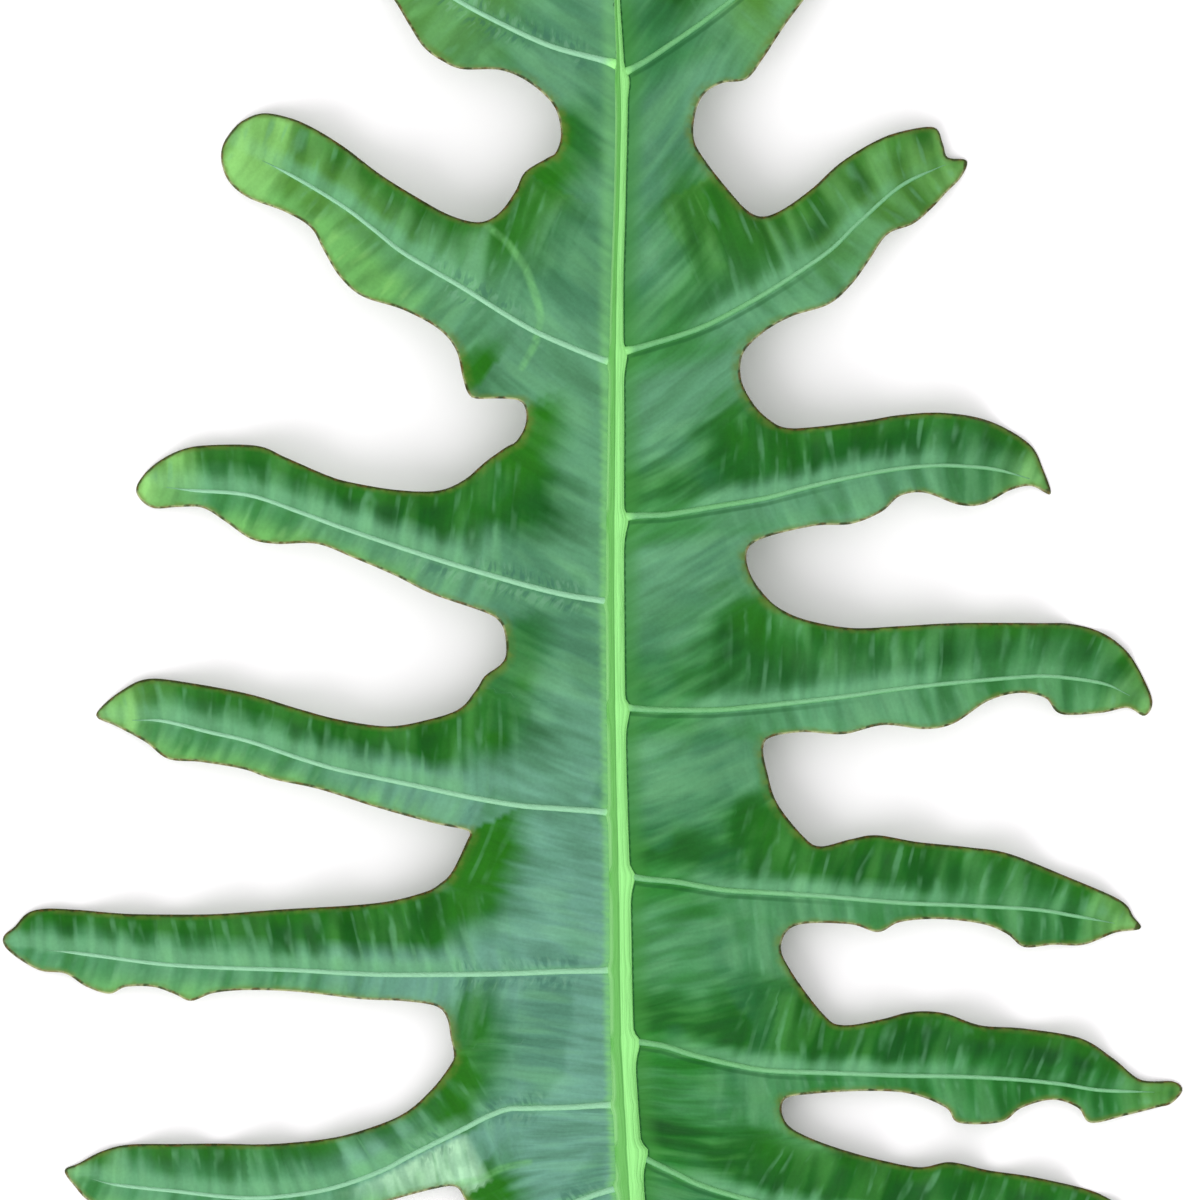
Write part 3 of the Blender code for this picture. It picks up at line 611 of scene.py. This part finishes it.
def pale_patches(fields, up_leaf, left):
    """A pale patch below the lowest left side vein that the photograph shows, and a fainter
    streak along the next one down."""
    away, along = fields["away"], fields["along"]
    patch = smooth_step(1, 3, -away) * smooth_step(63, 69, along) * smooth_fall(95, 135, along)
    patch *= smooth_step(0.04, 0.06, up_leaf) * smooth_fall(0.08, 0.09, up_leaf) * left
    streak = smooth_step(75, 95, along) * smooth_fall(125, 150, along)
    streak *= smooth_fall(2, 12, np.abs(away)) * (np.abs(fields["panel"] - STREAKED_VEIN) < 0.5)
    return np.maximum(patch, 0.7 * streak)


def notch_fields(fields, up_leaf, left):
    """How near the floor of a notch a point is, and how much of the margin there is a floor."""
    edge, edge_up, pale = fields["edge"], fields["edge_up"], fields["pale"]
    body_end = 55 + 30 * smooth_fall(0.06, 0.09, up_leaf) * left
    body = smooth_fall(0, 30, fields["along"] - body_end)
    left_facing = smooth_step(0, 0.6, edge_up + 0.7 + 0.28 * pale)
    facing = np.where(left, left_facing, 0.7 * smooth_step(0.1, 0.8, edge_up))
    wide = smooth_fall(0, 18, edge - 7 - 5 * pale) * facing * body
    narrow = 0.5 * smooth_fall(3, 9, edge) * smooth_step(0, 0.7, edge_up)
    return np.maximum(wide, narrow), body * smooth_fall(0.75, 1.0, np.abs(edge_up))


def blade_fields(points, loop, tree):
    """What the surface's colours and folds follow, for each point, with lengths in millimetres.

    edge, edge_up: distance from the margin, and how far the margin faces the leaf's tip
    away, along: distance from the nearest side vein, positive towards the leaf's tip, and
    the distance along it
    panel: which side vein, and what share of the way to the next one
    apart: 0 midway between two side veins, rising to 1
    off: distance from the midrib's edge, negative on the left
    dark, teal, lime, glow, end: shares of those colours, the last at the lobe's end
    pale, deep: how near the foot it is, on the left and on the right
    upper: how near the leaf's tip it is, away from the midrib
    patch, fringe, arc: pale patches, the pale strip left of the midrib, and the distance from
    the nearest pale line
    notch, floor: how near the floor of a notch, and how much of the margin there is a floor
    """
    up_leaf = points[:, 1]
    offset = points[:, 0] - midrib_x(up_leaf)
    left = offset < 0
    fields = margin_fields(points, loop, tree)
    for sign, lobes, looks in ((-1, LEFT_LOBES, LEFT_LOOKS), (1, RIGHT_LOBES, RIGHT_LOOKS)):
        on_side = offset * sign >= 0
        found = side_fields(points[on_side], offset[on_side], sign, lobes, looks)
        for name, values in found.items():
            fields.setdefault(name, np.zeros(len(points)))[on_side] = values
    fields["pale"] = smooth_fall(0.14, 0.32, up_leaf) * left
    fields["deep"] = smooth_fall(0.05, 0.36, up_leaf) * ~left
    fields["upper"] = smooth_step(0.38, 0.46, up_leaf) * smooth_step(25, 60, fields["along"])
    fields["dark"] *= 1 - 0.75 * fields["pale"] * smooth_fall(35, 60, fields["along"])
    fields["patch"] = pale_patches(fields, up_leaf, left)
    high = smooth_step(0.33, 0.45, up_leaf)
    fringe = smooth_fall(0.3, 1, -fields["off"] / (3 + 4 * high))
    fields["fringe"] = fringe * (1 - 0.5 * high) * left
    arcs = [near_path(smooth_path(place(arc), FORM_STEP), points)[0] for arc in PALE_ARCS]
    fields["arc"] = np.minimum(*arcs) * MM
    fields["notch"], fields["floor"] = notch_fields(fields, up_leaf, left)
    return fields


def pucker(points, fields):
    """Small folds of the blade across its side veins, and a faint unevenness all over."""
    away, along, panel = fields["away"], fields["along"], fields["panel"]
    near = np.exp(-np.abs(away) / FOLD_BAND)
    height = np.zeros(len(points))
    for i, (x, y) in enumerate(points):
        fold = noise.noise((along[i] / FOLD_LENGTH, away[i] / FOLD_WIDTH, panel[i]))
        swell = noise.noise((x * SWELLS_IN_A_METRE, y * SWELLS_IN_A_METRE, 3.0))
        height[i] = FOLD_HEIGHT * fold * near[i] + SWELL_HEIGHT * swell
    fade = smooth_step(0, 6, along) * smooth_step(0, 1, np.abs(fields["off"]))
    return height * fade * smooth_step(0.8, 3, np.abs(away))


def thickness_share(fields):
    return EDGE_THINNING + (1 - EDGE_THINNING) * smooth_step(0, EDGE_BAND * MM, fields["edge"])


def add_fields(mesh, fields):
    for name, values in fields.items():
        attribute = mesh.attributes.new(name, "FLOAT", "POINT")
        attribute.data.foreach_set("value", np.asarray(values, dtype=np.float32))


def mesh_from(name, points, faces, slots, materials):
    mesh = bpy.data.meshes.new(name)
    mesh.from_pydata([tuple(point) for point in points], [], faces)
    for material in materials:
        mesh.materials.append(material)
    mesh.polygons.foreach_set("material_index", slots)
    mesh.shade_smooth()
    return mesh


def add_object(name, data):
    thing = bpy.data.objects.new(name, data)
    bpy.context.scene.collection.objects.link(thing)
    return thing


def finish_piece(name, mesh):
    piece = add_object(name, mesh)
    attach(piece, "root")
    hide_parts("leaf")


def make_blade(upper_material, under_material):
    """The blade as one closed sheet: an upper face, the same again below it, and a thin edge."""
    loop = blade_outline()
    tree = tree_of(loop)
    plan, triangles = triangulate(loop, fill_points(loop, FACE_STEP, tree))
    fields = blade_fields(plan, loop, tree)
    middle = blade_form(plan) + pucker(plan, fields)
    thickness = thickness_share(fields)
    under_z = np.maximum(middle - BLADE_BELOW * thickness, 0)
    upper_z = np.maximum(middle + BLADE_ABOVE * thickness, under_z + THINNEST)
    points = np.vstack([np.column_stack([plan, upper_z]), np.column_stack([plan, under_z])])
    count = len(plan)
    faces = [tuple(face) for face in triangles]
    faces += [tuple(i + count for i in reversed(face)) for face in triangles]
    slots = [0] * len(triangles) + [1] * len(triangles)
    edges = {(a, b) for face in triangles for a, b in zip(face, face[1:] + face[:1])}
    rim = [(a, b) for a, b in sorted(edges) if (b, a) not in edges]
    faces += [(a + count, b + count, b, a) for a, b in rim]
    slots += [0] * len(rim)
    mesh = mesh_from("blade", points, faces, slots, [upper_material, under_material])
    add_fields(mesh, {name: np.tile(values, 2) for name, values in fields.items()})
    finish_piece("blade", mesh)


def tube(centres, rings):
    """Points and faces of a closed tube through rings of points, with a fan over each end."""
    count, sides = rings.shape[:2]
    points = np.vstack([rings.reshape(-1, 3), centres[:1], centres[-1:]])
    faces = []
    for i in range(count - 1):
        for j in range(sides):
            k = (j + 1) % sides
            faces.append((i * sides + j, i * sides + k, (i + 1) * sides + k, (i + 1) * sides + j))
    first, last = count * sides, count * sides + 1
    for j in range(sides):
        k = (j + 1) % sides
        faces.append((first, k, j))
        faces.append((last, (count - 1) * sides + j, (count - 1) * sides + k))
    return points, faces


def ring_heights(middle, above, below, turn):
    """Heights round a rib's section, resting on the surface where it reaches that low."""
    rise = np.where(np.sin(turn) > 0, above[:, None], below[:, None]) * np.sin(turn)[None]
    return np.maximum(middle[:, None] + rise, 0)


def make_midrib(rib_material, cut_material):
    """The midrib and the petiole as one closed body, cut off square at its lower end."""
    y = np.arange(CUT_END, TIP_END, MIDRIB_STEP)
    x = midrib_x(y)
    middle = blade_form(np.stack([x, y], axis=1))
    turn = np.linspace(0, 2 * math.pi, MIDRIB_SIDES, endpoint=False)
    left, right = midrib_edge(y, -1), midrib_edge(y, 1)
    reach = np.where(np.cos(turn)[None] > 0, right[:, None], left[:, None])
    shift = reach * np.cos(turn)[None]
    above = BLADE_ABOVE + values_between(RIB_ABOVE, y)
    below = BLADE_BELOW + values_between(RIB_BELOW, y)
    z = ring_heights(middle, above, below, turn)
    rings = np.stack([x[:, None] + shift, np.broadcast_to(y[:, None], shift.shape), z], axis=2)
    points, faces = tube(np.stack([x, y, middle], axis=1), rings)
    slots = [0] * len(faces)
    for i in range(len(faces) - 2 * MIDRIB_SIDES, len(faces), 2):
        slots[i] = 1
    faces = [face[::-1] for face in faces]
    mesh = mesh_from("midrib", points, faces, slots, [rib_material, cut_material])
    across = (shift / reach.max(axis=1)[:, None]).ravel()
    add_fields(mesh, {
        "across": np.append(across, [0, 0]),
        "rise": np.append(np.tile(np.sin(turn), len(y)), [0, 0]),
        "up_leaf": np.append(np.repeat(y, MIDRIB_SIDES), [y[0], y[-1]]),
    })
    mesh.set_sharp_from_angle(angle=math.radians(CUT_CORNER))
    finish_piece("midrib", mesh)


def vein_ridge(path, sign):
    """Points, faces and fields of one side vein on the left (-1) or the right (1).

    along, left: millimetres from its root, and still to go to its end
    side: which side of the leaf it is on
    around, rise: across and up its section, from -1 to 1
    """
    run = np.gradient(path, axis=0)
    across = np.stack([-run[:, 1], run[:, 0]], axis=1)
    across *= sign / np.linalg.norm(across, axis=1)[:, None]
    along = np.concatenate([[0], np.cumsum(np.linalg.norm(np.diff(path, axis=0), axis=1))])
    left = along[-1] - along
    size = taper(path, along)
    ending = smooth_fall(along[-1] - VEIN_FADE, along[-1], along)
    half = VEIN_WIDTH / 2 * size * (1 + ROOT_FLARE * np.exp(-along / ROOT_REACH))
    half *= SUNK_WIDTH + (1 - SUNK_WIDTH) * ending
    rise = VEIN_HEIGHT * size * (SUNK_HEIGHT + (1 - SUNK_HEIGHT) * ending)
    middle = blade_form(path)
    turn = np.linspace(0, 2 * math.pi, VEIN_SIDES, endpoint=False)
    z = ring_heights(middle, BLADE_ABOVE + rise, BLADE_BELOW + rise, turn)
    sideways = half[:, None] * np.cos(turn)[None] + VEIN_SHIFT[sign]
    flat = path[:, None, :] + sideways[..., None] * across[:, None]
    centres = np.column_stack([path + VEIN_SHIFT[sign] * across, middle])
    points, faces = tube(centres, np.dstack([flat, z]))
    if sign > 0:
        faces = [face[::-1] for face in faces]
    fields = {
        "along": np.append(np.repeat(along, VEIN_SIDES), [0, along[-1]]) * MM,
        "left": np.append(np.repeat(left, VEIN_SIDES), [along[-1], 0]) * MM,
        "side": np.full(len(points), sign),
        "around": np.append(np.tile(np.cos(turn), len(path)), [0, 0]),
        "rise": np.append(np.tile(np.sin(turn), len(path)), [0, 0]),
    }
    return points, faces, fields


def make_side_veins(material):
    """Every side vein as a closed, tapered ridge that stands out of both faces of the blade."""
    points, faces, fields = [], [], []
    for sign, lobes in ((-1, LEFT_LOBES), (1, RIGHT_LOBES)):
        for path in vein_paths(lobes, VEIN_STEP):
            ridge_points, ridge_faces, ridge_fields = vein_ridge(path, sign)
            faces += [tuple(i + len(points) for i in face) for face in ridge_faces]
            points += ridge_points.tolist()
            fields.append(ridge_fields)
    mesh = mesh_from("side_veins", points, faces, [0] * len(faces), [material])
    add_fields(mesh, {name: np.concatenate([each[name] for each in fields]) for name in fields[0]})
    finish_piece("side_veins", mesh)


def screen_colour(red, green, blue):
    """The paint that shows as the given 0 to 255 screen values in this scene's light."""
    share = np.array([red, green, blue]) / 255
    linear = np.where(share <= 0.04045, share / 12.92, ((share + 0.055) / 1.055) ** 2.4)
    return (*np.maximum((linear - SHEEN) / EXPOSURE, DARKEST).tolist(), 1.0)


LEAF_GREEN = screen_colour(66, 138, 72)
DEEP_TEAL = screen_colour(54, 114, 82)
PATCH_PALE = screen_colour(172, 220, 180)
UPPER_GREEN = screen_colour(98, 154, 66)
LOW_GREEN = screen_colour(44, 126, 46)
NOTCH_GREEN = screen_colour(44, 116, 18)
PUCKER_SHADE = screen_colour(58, 106, 92)
PUCKER_HIGHLIGHT = screen_colour(150, 200, 168)
DARK_GREEN = screen_colour(26, 84, 40)
DARK_GRASS = screen_colour(36, 110, 28)
TEAL_SHEEN = screen_colour(96, 153, 116)
PALE_TEAL_SHEEN = screen_colour(108, 160, 140)
LIME = screen_colour(112, 180, 98)
LIGHT_LIME = screen_colour(146, 210, 118)
HIGHLIGHT_AND_VEINLET_GREEN = screen_colour(108, 170, 124)
PALE_LINE = screen_colour(126, 198, 122)
CREASE_SHADE = screen_colour(26, 88, 44)
BESIDE_RIB = screen_colour(70, 143, 64)
FRINGE = screen_colour(128, 200, 122)
MARGIN_BROWN = screen_colour(62, 58, 34)
MARGIN_OLIVE = screen_colour(104, 126, 54)
MARGIN_CREAM_HIGHLIGHT = screen_colour(196, 196, 150)
FLECK_RED = screen_colour(120, 84, 50)
LIME_AND_RIB_HIGHLIGHT = screen_colour(164, 250, 146)
RIB_GREEN = screen_colour(104, 186, 88)
RIB_EDGE = screen_colour(146, 212, 136)
RIB_LINE = screen_colour(78, 160, 66)
VEIN_MINT = screen_colour(148, 208, 166)
VEIN_GREEN = screen_colour(114, 187, 120)
VEIN_SHADE = screen_colour(100, 172, 112)
UNDER_GREEN = screen_colour(118, 158, 112)
UNDER_PALE = screen_colour(148, 182, 138)
PITH = screen_colour(206, 214, 158)
PITH_FIBRE = screen_colour(150, 160, 96)


class Paint:
    """A procedural material, built up from small node calls that give back their output."""

    def __init__(self, name, base):
        self.material = bpy.data.materials.new(name)
        self.material.use_nodes = True
        self.tree = self.material.node_tree
        self.shader = self.tree.nodes["Principled BSDF"]
        self.colour = base

    def node(self, kind, *inputs, **settings):
        node = self.tree.nodes.new(kind)
        for key, value in settings.items():
            setattr(node, key, value)
        for socket, value in zip(node.inputs, inputs):
            self.put(socket, value)
        return node

    def put(self, socket, value):
        if isinstance(value, bpy.types.NodeSocket):
            self.tree.links.new(value, socket)
        else:
            socket.default_value = value

    def field(self, name):
        """A value that the mesh keeps at each of its points."""
        return self.node("ShaderNodeAttribute", attribute_name=name).outputs["Fac"]

    def math(self, operation, *values):
        return self.node("ShaderNodeMath", *values, operation=operation).outputs[0]

    def times(self, first, *others):
        for other in others:
            first = self.math("MULTIPLY", first, other)
        return first

    def line(self, value, slope, start):
        """start where the value is 0, changing by the slope for each 1 of the value."""
        return self.math("MULTIPLY_ADD", value, slope, start)

    def step(self, low, high, at):
        """0 below low, 1 above high, with an even change between."""
        node = self.node("ShaderNodeMapRange", at, low, high, 0.0, 1.0)
        node.interpolation_type = "SMOOTHSTEP"
        return node.outputs[0]

    def fall(self, low, high, at):
        return self.math("SUBTRACT", 1.0, self.step(low, high, at))

    def mix_value(self, share, start, end):
        """start where the share is 0, end where it is 1."""
        return self.line(share, self.math("SUBTRACT", end, start), start)

    def shifted(self, share, lean, amount):
        """A share pushed up or down by a lean of -0.5 to 0.5, most where it is about a half."""
        room = self.line(share, self.math("SUBTRACT", 1.0, share), 0.08)
        moved = self.math("ADD", share, self.times(lean, room, 4 * amount))
        return self.math("MINIMUM", self.math("MAXIMUM", moved, 0.0), 1.0)

    def noise(self, scale, detail=3.0, roughness=0.55, low=0.35, high=0.65, at=None):
        """Noise over the piece, or over at, with its middle range stretched to 0 to 1."""
        node = self.node("ShaderNodeTexNoise")
        self.put(node.inputs["Vector"], at or self.node("ShaderNodeTexCoord").outputs["Object"])
        self.put(node.inputs["Scale"], scale)
        self.put(node.inputs["Detail"], detail)
        self.put(node.inputs["Roughness"], roughness)
        return self.step(low, high, node.outputs["Fac"])

    def marks(self, *axes, **settings):
        """Noise over two or three values, each given with its own scale."""
        at = self.node("ShaderNodeCombineXYZ", *[self.times(*axis) for axis in axes])
        return self.noise(1.0, at=at.outputs[0], **settings)

    def mix(self, share, start, end):
        """The colour start where the share is 0, end where it is 1."""
        node = self.node("ShaderNodeMix", data_type="RGBA")
        self.put(node.inputs[0], share)
        self.put(node.inputs[6], start)
        self.put(node.inputs[7], end)
        return node.outputs[2]

    def lay(self, tone, *shares):
        """Lays a tone over the colour so far, as strongly as the product of the shares."""
        self.colour = self.mix(self.times(*shares), self.colour, tone)

    def shade(self, value):
        """Makes the colour so far lighter or darker, 1 leaving it as it is."""
        node = self.node("ShaderNodeHueSaturation")
        self.put(node.inputs["Value"], value)
        self.put(node.inputs["Color"], self.colour)
        self.colour = node.outputs[0]

    def finish(self, roughness, relief=None, relief_depth=0.0002, specular=0.4):
        """The material, with any relief as bump of the given depth in metres."""
        self.put(self.shader.inputs["Base Color"], self.colour)
        self.put(self.shader.inputs["Roughness"], roughness)
        self.put(self.shader.inputs["Specular IOR Level"], specular)
        if relief is not None:
            bump = self.node("ShaderNodeBump")
            self.put(bump.inputs["Height"], relief)
            self.put(bump.inputs["Distance"], relief_depth)
            self.put(bump.inputs["Strength"], 1.0)
            self.put(self.shader.inputs["Normal"], bump.outputs[0])
        return self.material


def blade_grain(p, slant, on_lobe):
    """Coarse and fine grain, as long streaks on the body and leaning stripes on the lobes, and
    the fine stripes on their own."""
    away, panel, off = p.field("away"), p.field("panel"), p.field("off")
    lift = p.line(p.math("ABSOLUTE", off), 0.0045, p.times(off, 0.0015))
    level = p.math("ADD", panel, lift)
    streak = p.marks((level, 9.0), (off, 0.025), detail=2.0, roughness=0.5, low=0.3, high=0.7)
    fine_streak = p.marks((level, 27.0), (off, 0.06), (7.0, 1.0), detail=1.5, roughness=0.5)
    axes = (slant, 0.13), (away, 0.022), (panel, 0.4)
    stripe = p.marks(*axes, detail=1.0, roughness=0.5, low=0.28, high=0.72)
    fine_stripe = p.marks((slant, 0.3), (away, 0.05), (panel, 3.0), detail=1.5, roughness=0.5)
    grain = p.mix_value(on_lobe, streak, stripe)
    return grain, p.mix_value(on_lobe, fine_streak, fine_stripe), fine_stripe


def lay_greens(p, grain, cloud):
    """The blade's greens, with most shares leaning on the grain so that they end in streaks."""
    deep, upper = p.field("deep"), p.field("upper")
    lean = p.math("SUBTRACT", p.mix_value(0.35, grain, cloud), 0.5)
    sheen_share = p.times(p.field("teal"), p.line(deep, -0.6, 1.0), p.line(upper, -0.75, 1.0))
    dark = p.mix(p.mix_value(0.5, grain, cloud), DARK_GREEN, DARK_GRASS)
    p.lay(LOW_GREEN, deep)
    p.lay(UPPER_GREEN, upper, 0.8)
    # painted sheen: teal where the blade would reflect the sky, paler towards the foot on the left
    p.lay(p.mix(p.field("pale"), TEAL_SHEEN, PALE_TEAL_SHEEN), p.shifted(sheen_share, lean, 0.5))
    p.lay(LIME, p.shifted(p.field("lime"), lean, 0.6))
    # dark upper halves: partly the leaf's own darker green, partly painted shade
    p.lay(dark, p.shifted(p.field("dark"), lean, -0.6))
    p.lay(NOTCH_GREEN, p.shifted(p.field("notch"), lean, -0.6))
    p.lay(DEEP_TEAL, p.step(0.5, 1.0, cloud), p.fall(40.0, 75.0, p.field("along")), 0.4)
    # painted highlight beside the side veins
    p.lay(HIGHLIGHT_AND_VEINLET_GREEN, p.shifted(p.field("glow"), lean, 0.4))
    p.lay(LIGHT_LIME, p.shifted(p.field("end"), lean, 0.5))


def lay_veinlets(p, slant, near, on_lobe):
    """Thin light lines across the lobes, broken and unevenly spaced."""
    away, panel = p.field("away"), p.field("panel")
    drift = p.marks((slant, 0.05), (0.0, 1.0), (panel, 1.0), detail=1.0)
    line = p.step(0.1, 1.0, p.math("SINE", p.line(drift, 5.0, p.times(slant, 0.78))))
    axes = (slant, 0.22), (away, 0.09), (panel, 1.0)
    broken = p.marks(*axes, detail=1.0, roughness=0.5, low=0.4, high=0.7)
    clear = p.times(p.step(0.5, 4.0, near), p.step(0.5, 4.0, p.field("edge")))
    p.lay(p.mix(p.field("lime"), HIGHLIGHT_AND_VEINLET_GREEN, LIGHT_LIME), line, broken, clear, on_lobe, 0.42)


def lay_pucker_marks(p, near, cloud):
    """Short marks of painted shade and highlight where the blade puckers beside its left side veins."""
    away, along = p.field("away"), p.field("along")
    leaning = p.line(near, -0.3, along)
    tick = p.marks((leaning, 0.42), (away, 0.14), (p.field("panel"), 1.0), detail=1.5)
    band = p.times(p.step(0.9, 2.4, near), p.fall(3.0, 9.0, near))
    reach = p.times(p.step(8.0, 20.0, along), p.fall(70.0, 110.0, along))
    left = p.fall(-0.5, 0.5, p.field("off"))
    beside = p.times(band, reach, p.step(0.45, 0.9, cloud), left)
    # painted shade and painted highlight of the puckers
    p.lay(PUCKER_SHADE, beside, p.fall(0.0, 0.35, tick), 0.45)
    p.lay(PUCKER_HIGHLIGHT, beside, p.step(0.75, 1.0, tick), 0.2)


def lay_midrib_sides(p, fine):
    """The pale fringe left of the midrib, and the greener strip right with painted shade in its
    creases.
    """
    away, along, off = p.field("away"), p.field("along"), p.field("off")
    right = p.math("GREATER_THAN", off, 0.0)
    p.lay(FRINGE, p.field("fringe"), p.line(fine, 0.3, 0.6))
    p.lay(BESIDE_RIB, p.fall(1.0, 9.0, off), right, 0.6)
    groove_shade = p.times(right, p.fall(0.3, 0.9, off))
    shadow_below_vein = p.fall(0.3, 1.1, p.math("ABSOLUTE", p.math("ADD", away, 2.4)))
    reach = p.times(p.fall(50.0, 110.0, along), p.step(1.0, 6.0, along))
    # painted shade in the groove right of the midrib, and a painted shadow just below the right side
    # veins
    p.lay(CREASE_SHADE, p.math("MAXIMUM", groove_shade, p.times(shadow_below_vein, reach, right, 0.6)), 0.8)


def lay_margin(p):
    """An olive band, a brown line partly of painted shade, and painted cream highlights facing the
    foot.
    """
    edge = p.field("edge")
    ragged = p.noise(240.0, detail=2.0)
    fleck = p.noise(420.0, detail=1.0, roughness=0.5, low=0.5, high=0.62)
    reach = p.math("DIVIDE", edge, p.line(p.field("floor"), 0.7, 1.0))
    p.lay(MARGIN_OLIVE, p.fall(0.4, 3.0, reach), p.line(ragged, 0.5, 0.25))
    faces_foot = p.fall(-0.5, 0.3, p.field("edge_up"))
    # brown: partly the margin's own colour, partly painted shade; cream on edges facing the foot and
    # the light: partly a pale rim, partly painted highlight
    rim = p.mix(p.times(faces_foot, ragged), MARGIN_BROWN, MARGIN_CREAM_HIGHLIGHT)
    rim = p.mix(p.times(fleck, 0.6), rim, FLECK_RED)
    p.lay(rim, p.fall(0.6, 1.5, p.line(ragged, 0.5, edge)), 0.85)


def blade_material():
    """The upper face: streaked greens, a painted teal sheen beside the veins, rich green at the
    notches.
    """
    p = Paint("blade_upper", LEAF_GREEN)
    along = p.field("along")
    near = p.math("ABSOLUTE", p.field("away"))
    slant = p.line(near, -0.2, along)
    on_lobe = p.times(p.step(30.0, 65.0, along), p.field("apart"))
    cloud = p.noise(24.0, detail=2.0)
    grain, fine, fine_stripe = blade_grain(p, slant, on_lobe)
    lay_greens(p, grain, cloud)
    p.lay(PATCH_PALE, p.field("patch"), p.line(fine_stripe, 0.35, 0.65))
    lay_veinlets(p, slant, near, on_lobe)
    arc = p.fall(0.0, 2.0, p.line(cloud, -0.6, p.field("arc")))
    p.lay(PALE_LINE, arc, p.line(fine, 0.2, 0.3))
    speck = p.noise(700.0, detail=1.0)
    p.shade(p.line(speck, 0.06, p.line(grain, 0.18, p.line(fine, 0.12, 0.83))))
    lay_pucker_marks(p, near, cloud)
    lay_midrib_sides(p, fine)
    lay_margin(p)
    relief = p.math("ADD", p.times(grain, 0.6), p.times(fine, 0.25))
    return p.finish(p.line(cloud, 0.12, 0.46), relief, 0.00035, specular=0.12)


def under_material():
    """The lower face: paler and duller, with a faint net."""
    p = Paint("blade_under", UNDER_GREEN)
    net = p.marks((p.field("panel"), 16.0), (p.field("off"), 0.05))
    p.lay(UNDER_PALE, p.line(net, 0.6, p.times(p.noise(40.0), 0.4)))
    p.lay(MARGIN_BROWN, p.fall(0.3, 1.2, p.field("edge")), 0.8)
    return p.finish(0.6, net, specular=0.25)


def midrib_material():
    """Lime green, with a painted highlight on the right of its crest, and long fine fibres."""
    p = Paint("midrib_skin", RIB_EDGE)
    across = p.field("across")
    fibre = p.marks((across, 5.0), (p.field("up_leaf"), 22.0))
    p.lay(RIB_GREEN, p.step(-0.95, -0.5, across))
    # painted highlight: lighter lime on the right of the crest, as if lit from that side
    p.lay(LIME_AND_RIB_HIGHLIGHT, p.step(-0.12, 0.02, p.line(fibre, 0.06, across)))
    p.lay(RIB_GREEN, fibre, 0.25)
    p.lay(RIB_LINE, p.fall(0.02, 0.09, p.math("ABSOLUTE", p.math("ADD", across, 0.12))), 0.6)
    p.lay(UNDER_PALE, p.fall(-0.9, 0.0, p.field("rise")), 0.6)
    return p.finish(0.38, fibre)


def cut_material():
    """The petiole's cut end: pale pith with darker fibres."""
    p = Paint("petiole_cut", PITH)
    dots = p.noise(900.0, detail=1.0, roughness=0.5, low=0.55, high=0.62)
    p.lay(PITH_FIBRE, dots)
    return p.finish(0.7, dots, specular=0.2)


def vein_material():
    """Pale mint, lime where it leaves the midrib, sinking into the blade's green at its end."""
    p = Paint("vein_skin", VEIN_MINT)
    along, around = p.field("along"), p.field("around")
    bead = p.marks((along, 0.35), (around, 1.0))
    right = p.step(-0.5, 0.5, p.field("side"))
    p.lay(VEIN_GREEN, right, p.line(p.step(40.0, 90.0, along), -0.5, 1.0))
    shaded = p.mix(right, VEIN_MINT, VEIN_SHADE)
    p.lay(shaded, p.fall(-1.0, 0.2, p.line(bead, 0.2, around)))
    p.lay(LIME_AND_RIB_HIGHLIGHT, p.fall(1.0, 7.0, along))
    p.lay(HIGHLIGHT_AND_VEINLET_GREEN, p.fall(0.0, 12.0, p.field("left")))
    p.lay(UNDER_PALE, p.fall(-0.6, 0.0, p.field("rise")), 0.85)
    return p.finish(0.4, bead, 0.00015)


def make_camera():
    """Straight above the middle of the photograph, far enough away to look almost flat."""
    camera = bpy.data.cameras.new("camera")
    camera.lens = CAMERA_HEIGHT * camera.sensor_width / (PHOTO_SIDE * PIXEL)
    camera.clip_end = CAMERA_REACH
    holder = add_object("camera", camera)
    holder.location = (*place([PHOTO_CENTRE])[0], CAMERA_HEIGHT + VIEW_PLANE)
    bpy.context.scene.camera = holder


def make_light():
    """A broad soft light from the lower left, and an even white surround."""
    sun = bpy.data.lights.new("key", "SUN")
    sun.energy = SUN_STRENGTH
    sun.angle = math.radians(SUN_SPREAD)
    holder = add_object("key", sun)
    holder.rotation_mode = "QUATERNION"
    holder.rotation_quaternion = Vector(SUN_FROM).to_track_quat("Z", "Y")
    world = bpy.data.worlds.new("surround")
    world.use_nodes = True
    world.node_tree.nodes["Background"].inputs["Color"].default_value = (1, 1, 1, 1)
    world.node_tree.nodes["Background"].inputs["Strength"].default_value = SKY_STRENGTH
    bpy.context.scene.world = world
    bpy.context.scene.view_settings.view_transform = "Standard"


def make_floor():
    """A plain square just under the leaf."""
    paper = Paint("floor_paper", FLOOR_WHITE)
    paper.lay(FLOOR_LIGHT, paper.noise(6.0))
    half = FLOOR_SIDE / 2
    corners = [(x * half, y * half, -FLOOR_GAP) for x, y in ((-1, -1), (1, -1), (1, 1), (-1, 1))]
    mesh = mesh_from("floor", corners, [(0, 1, 2, 3)], [0], [paper.finish(0.9)])
    add_object("floor", mesh)


make_camera()
make_light()
make_floor()
make_blade(blade_material(), under_material())
make_side_veins(vein_material())
make_midrib(midrib_material(), cut_material())
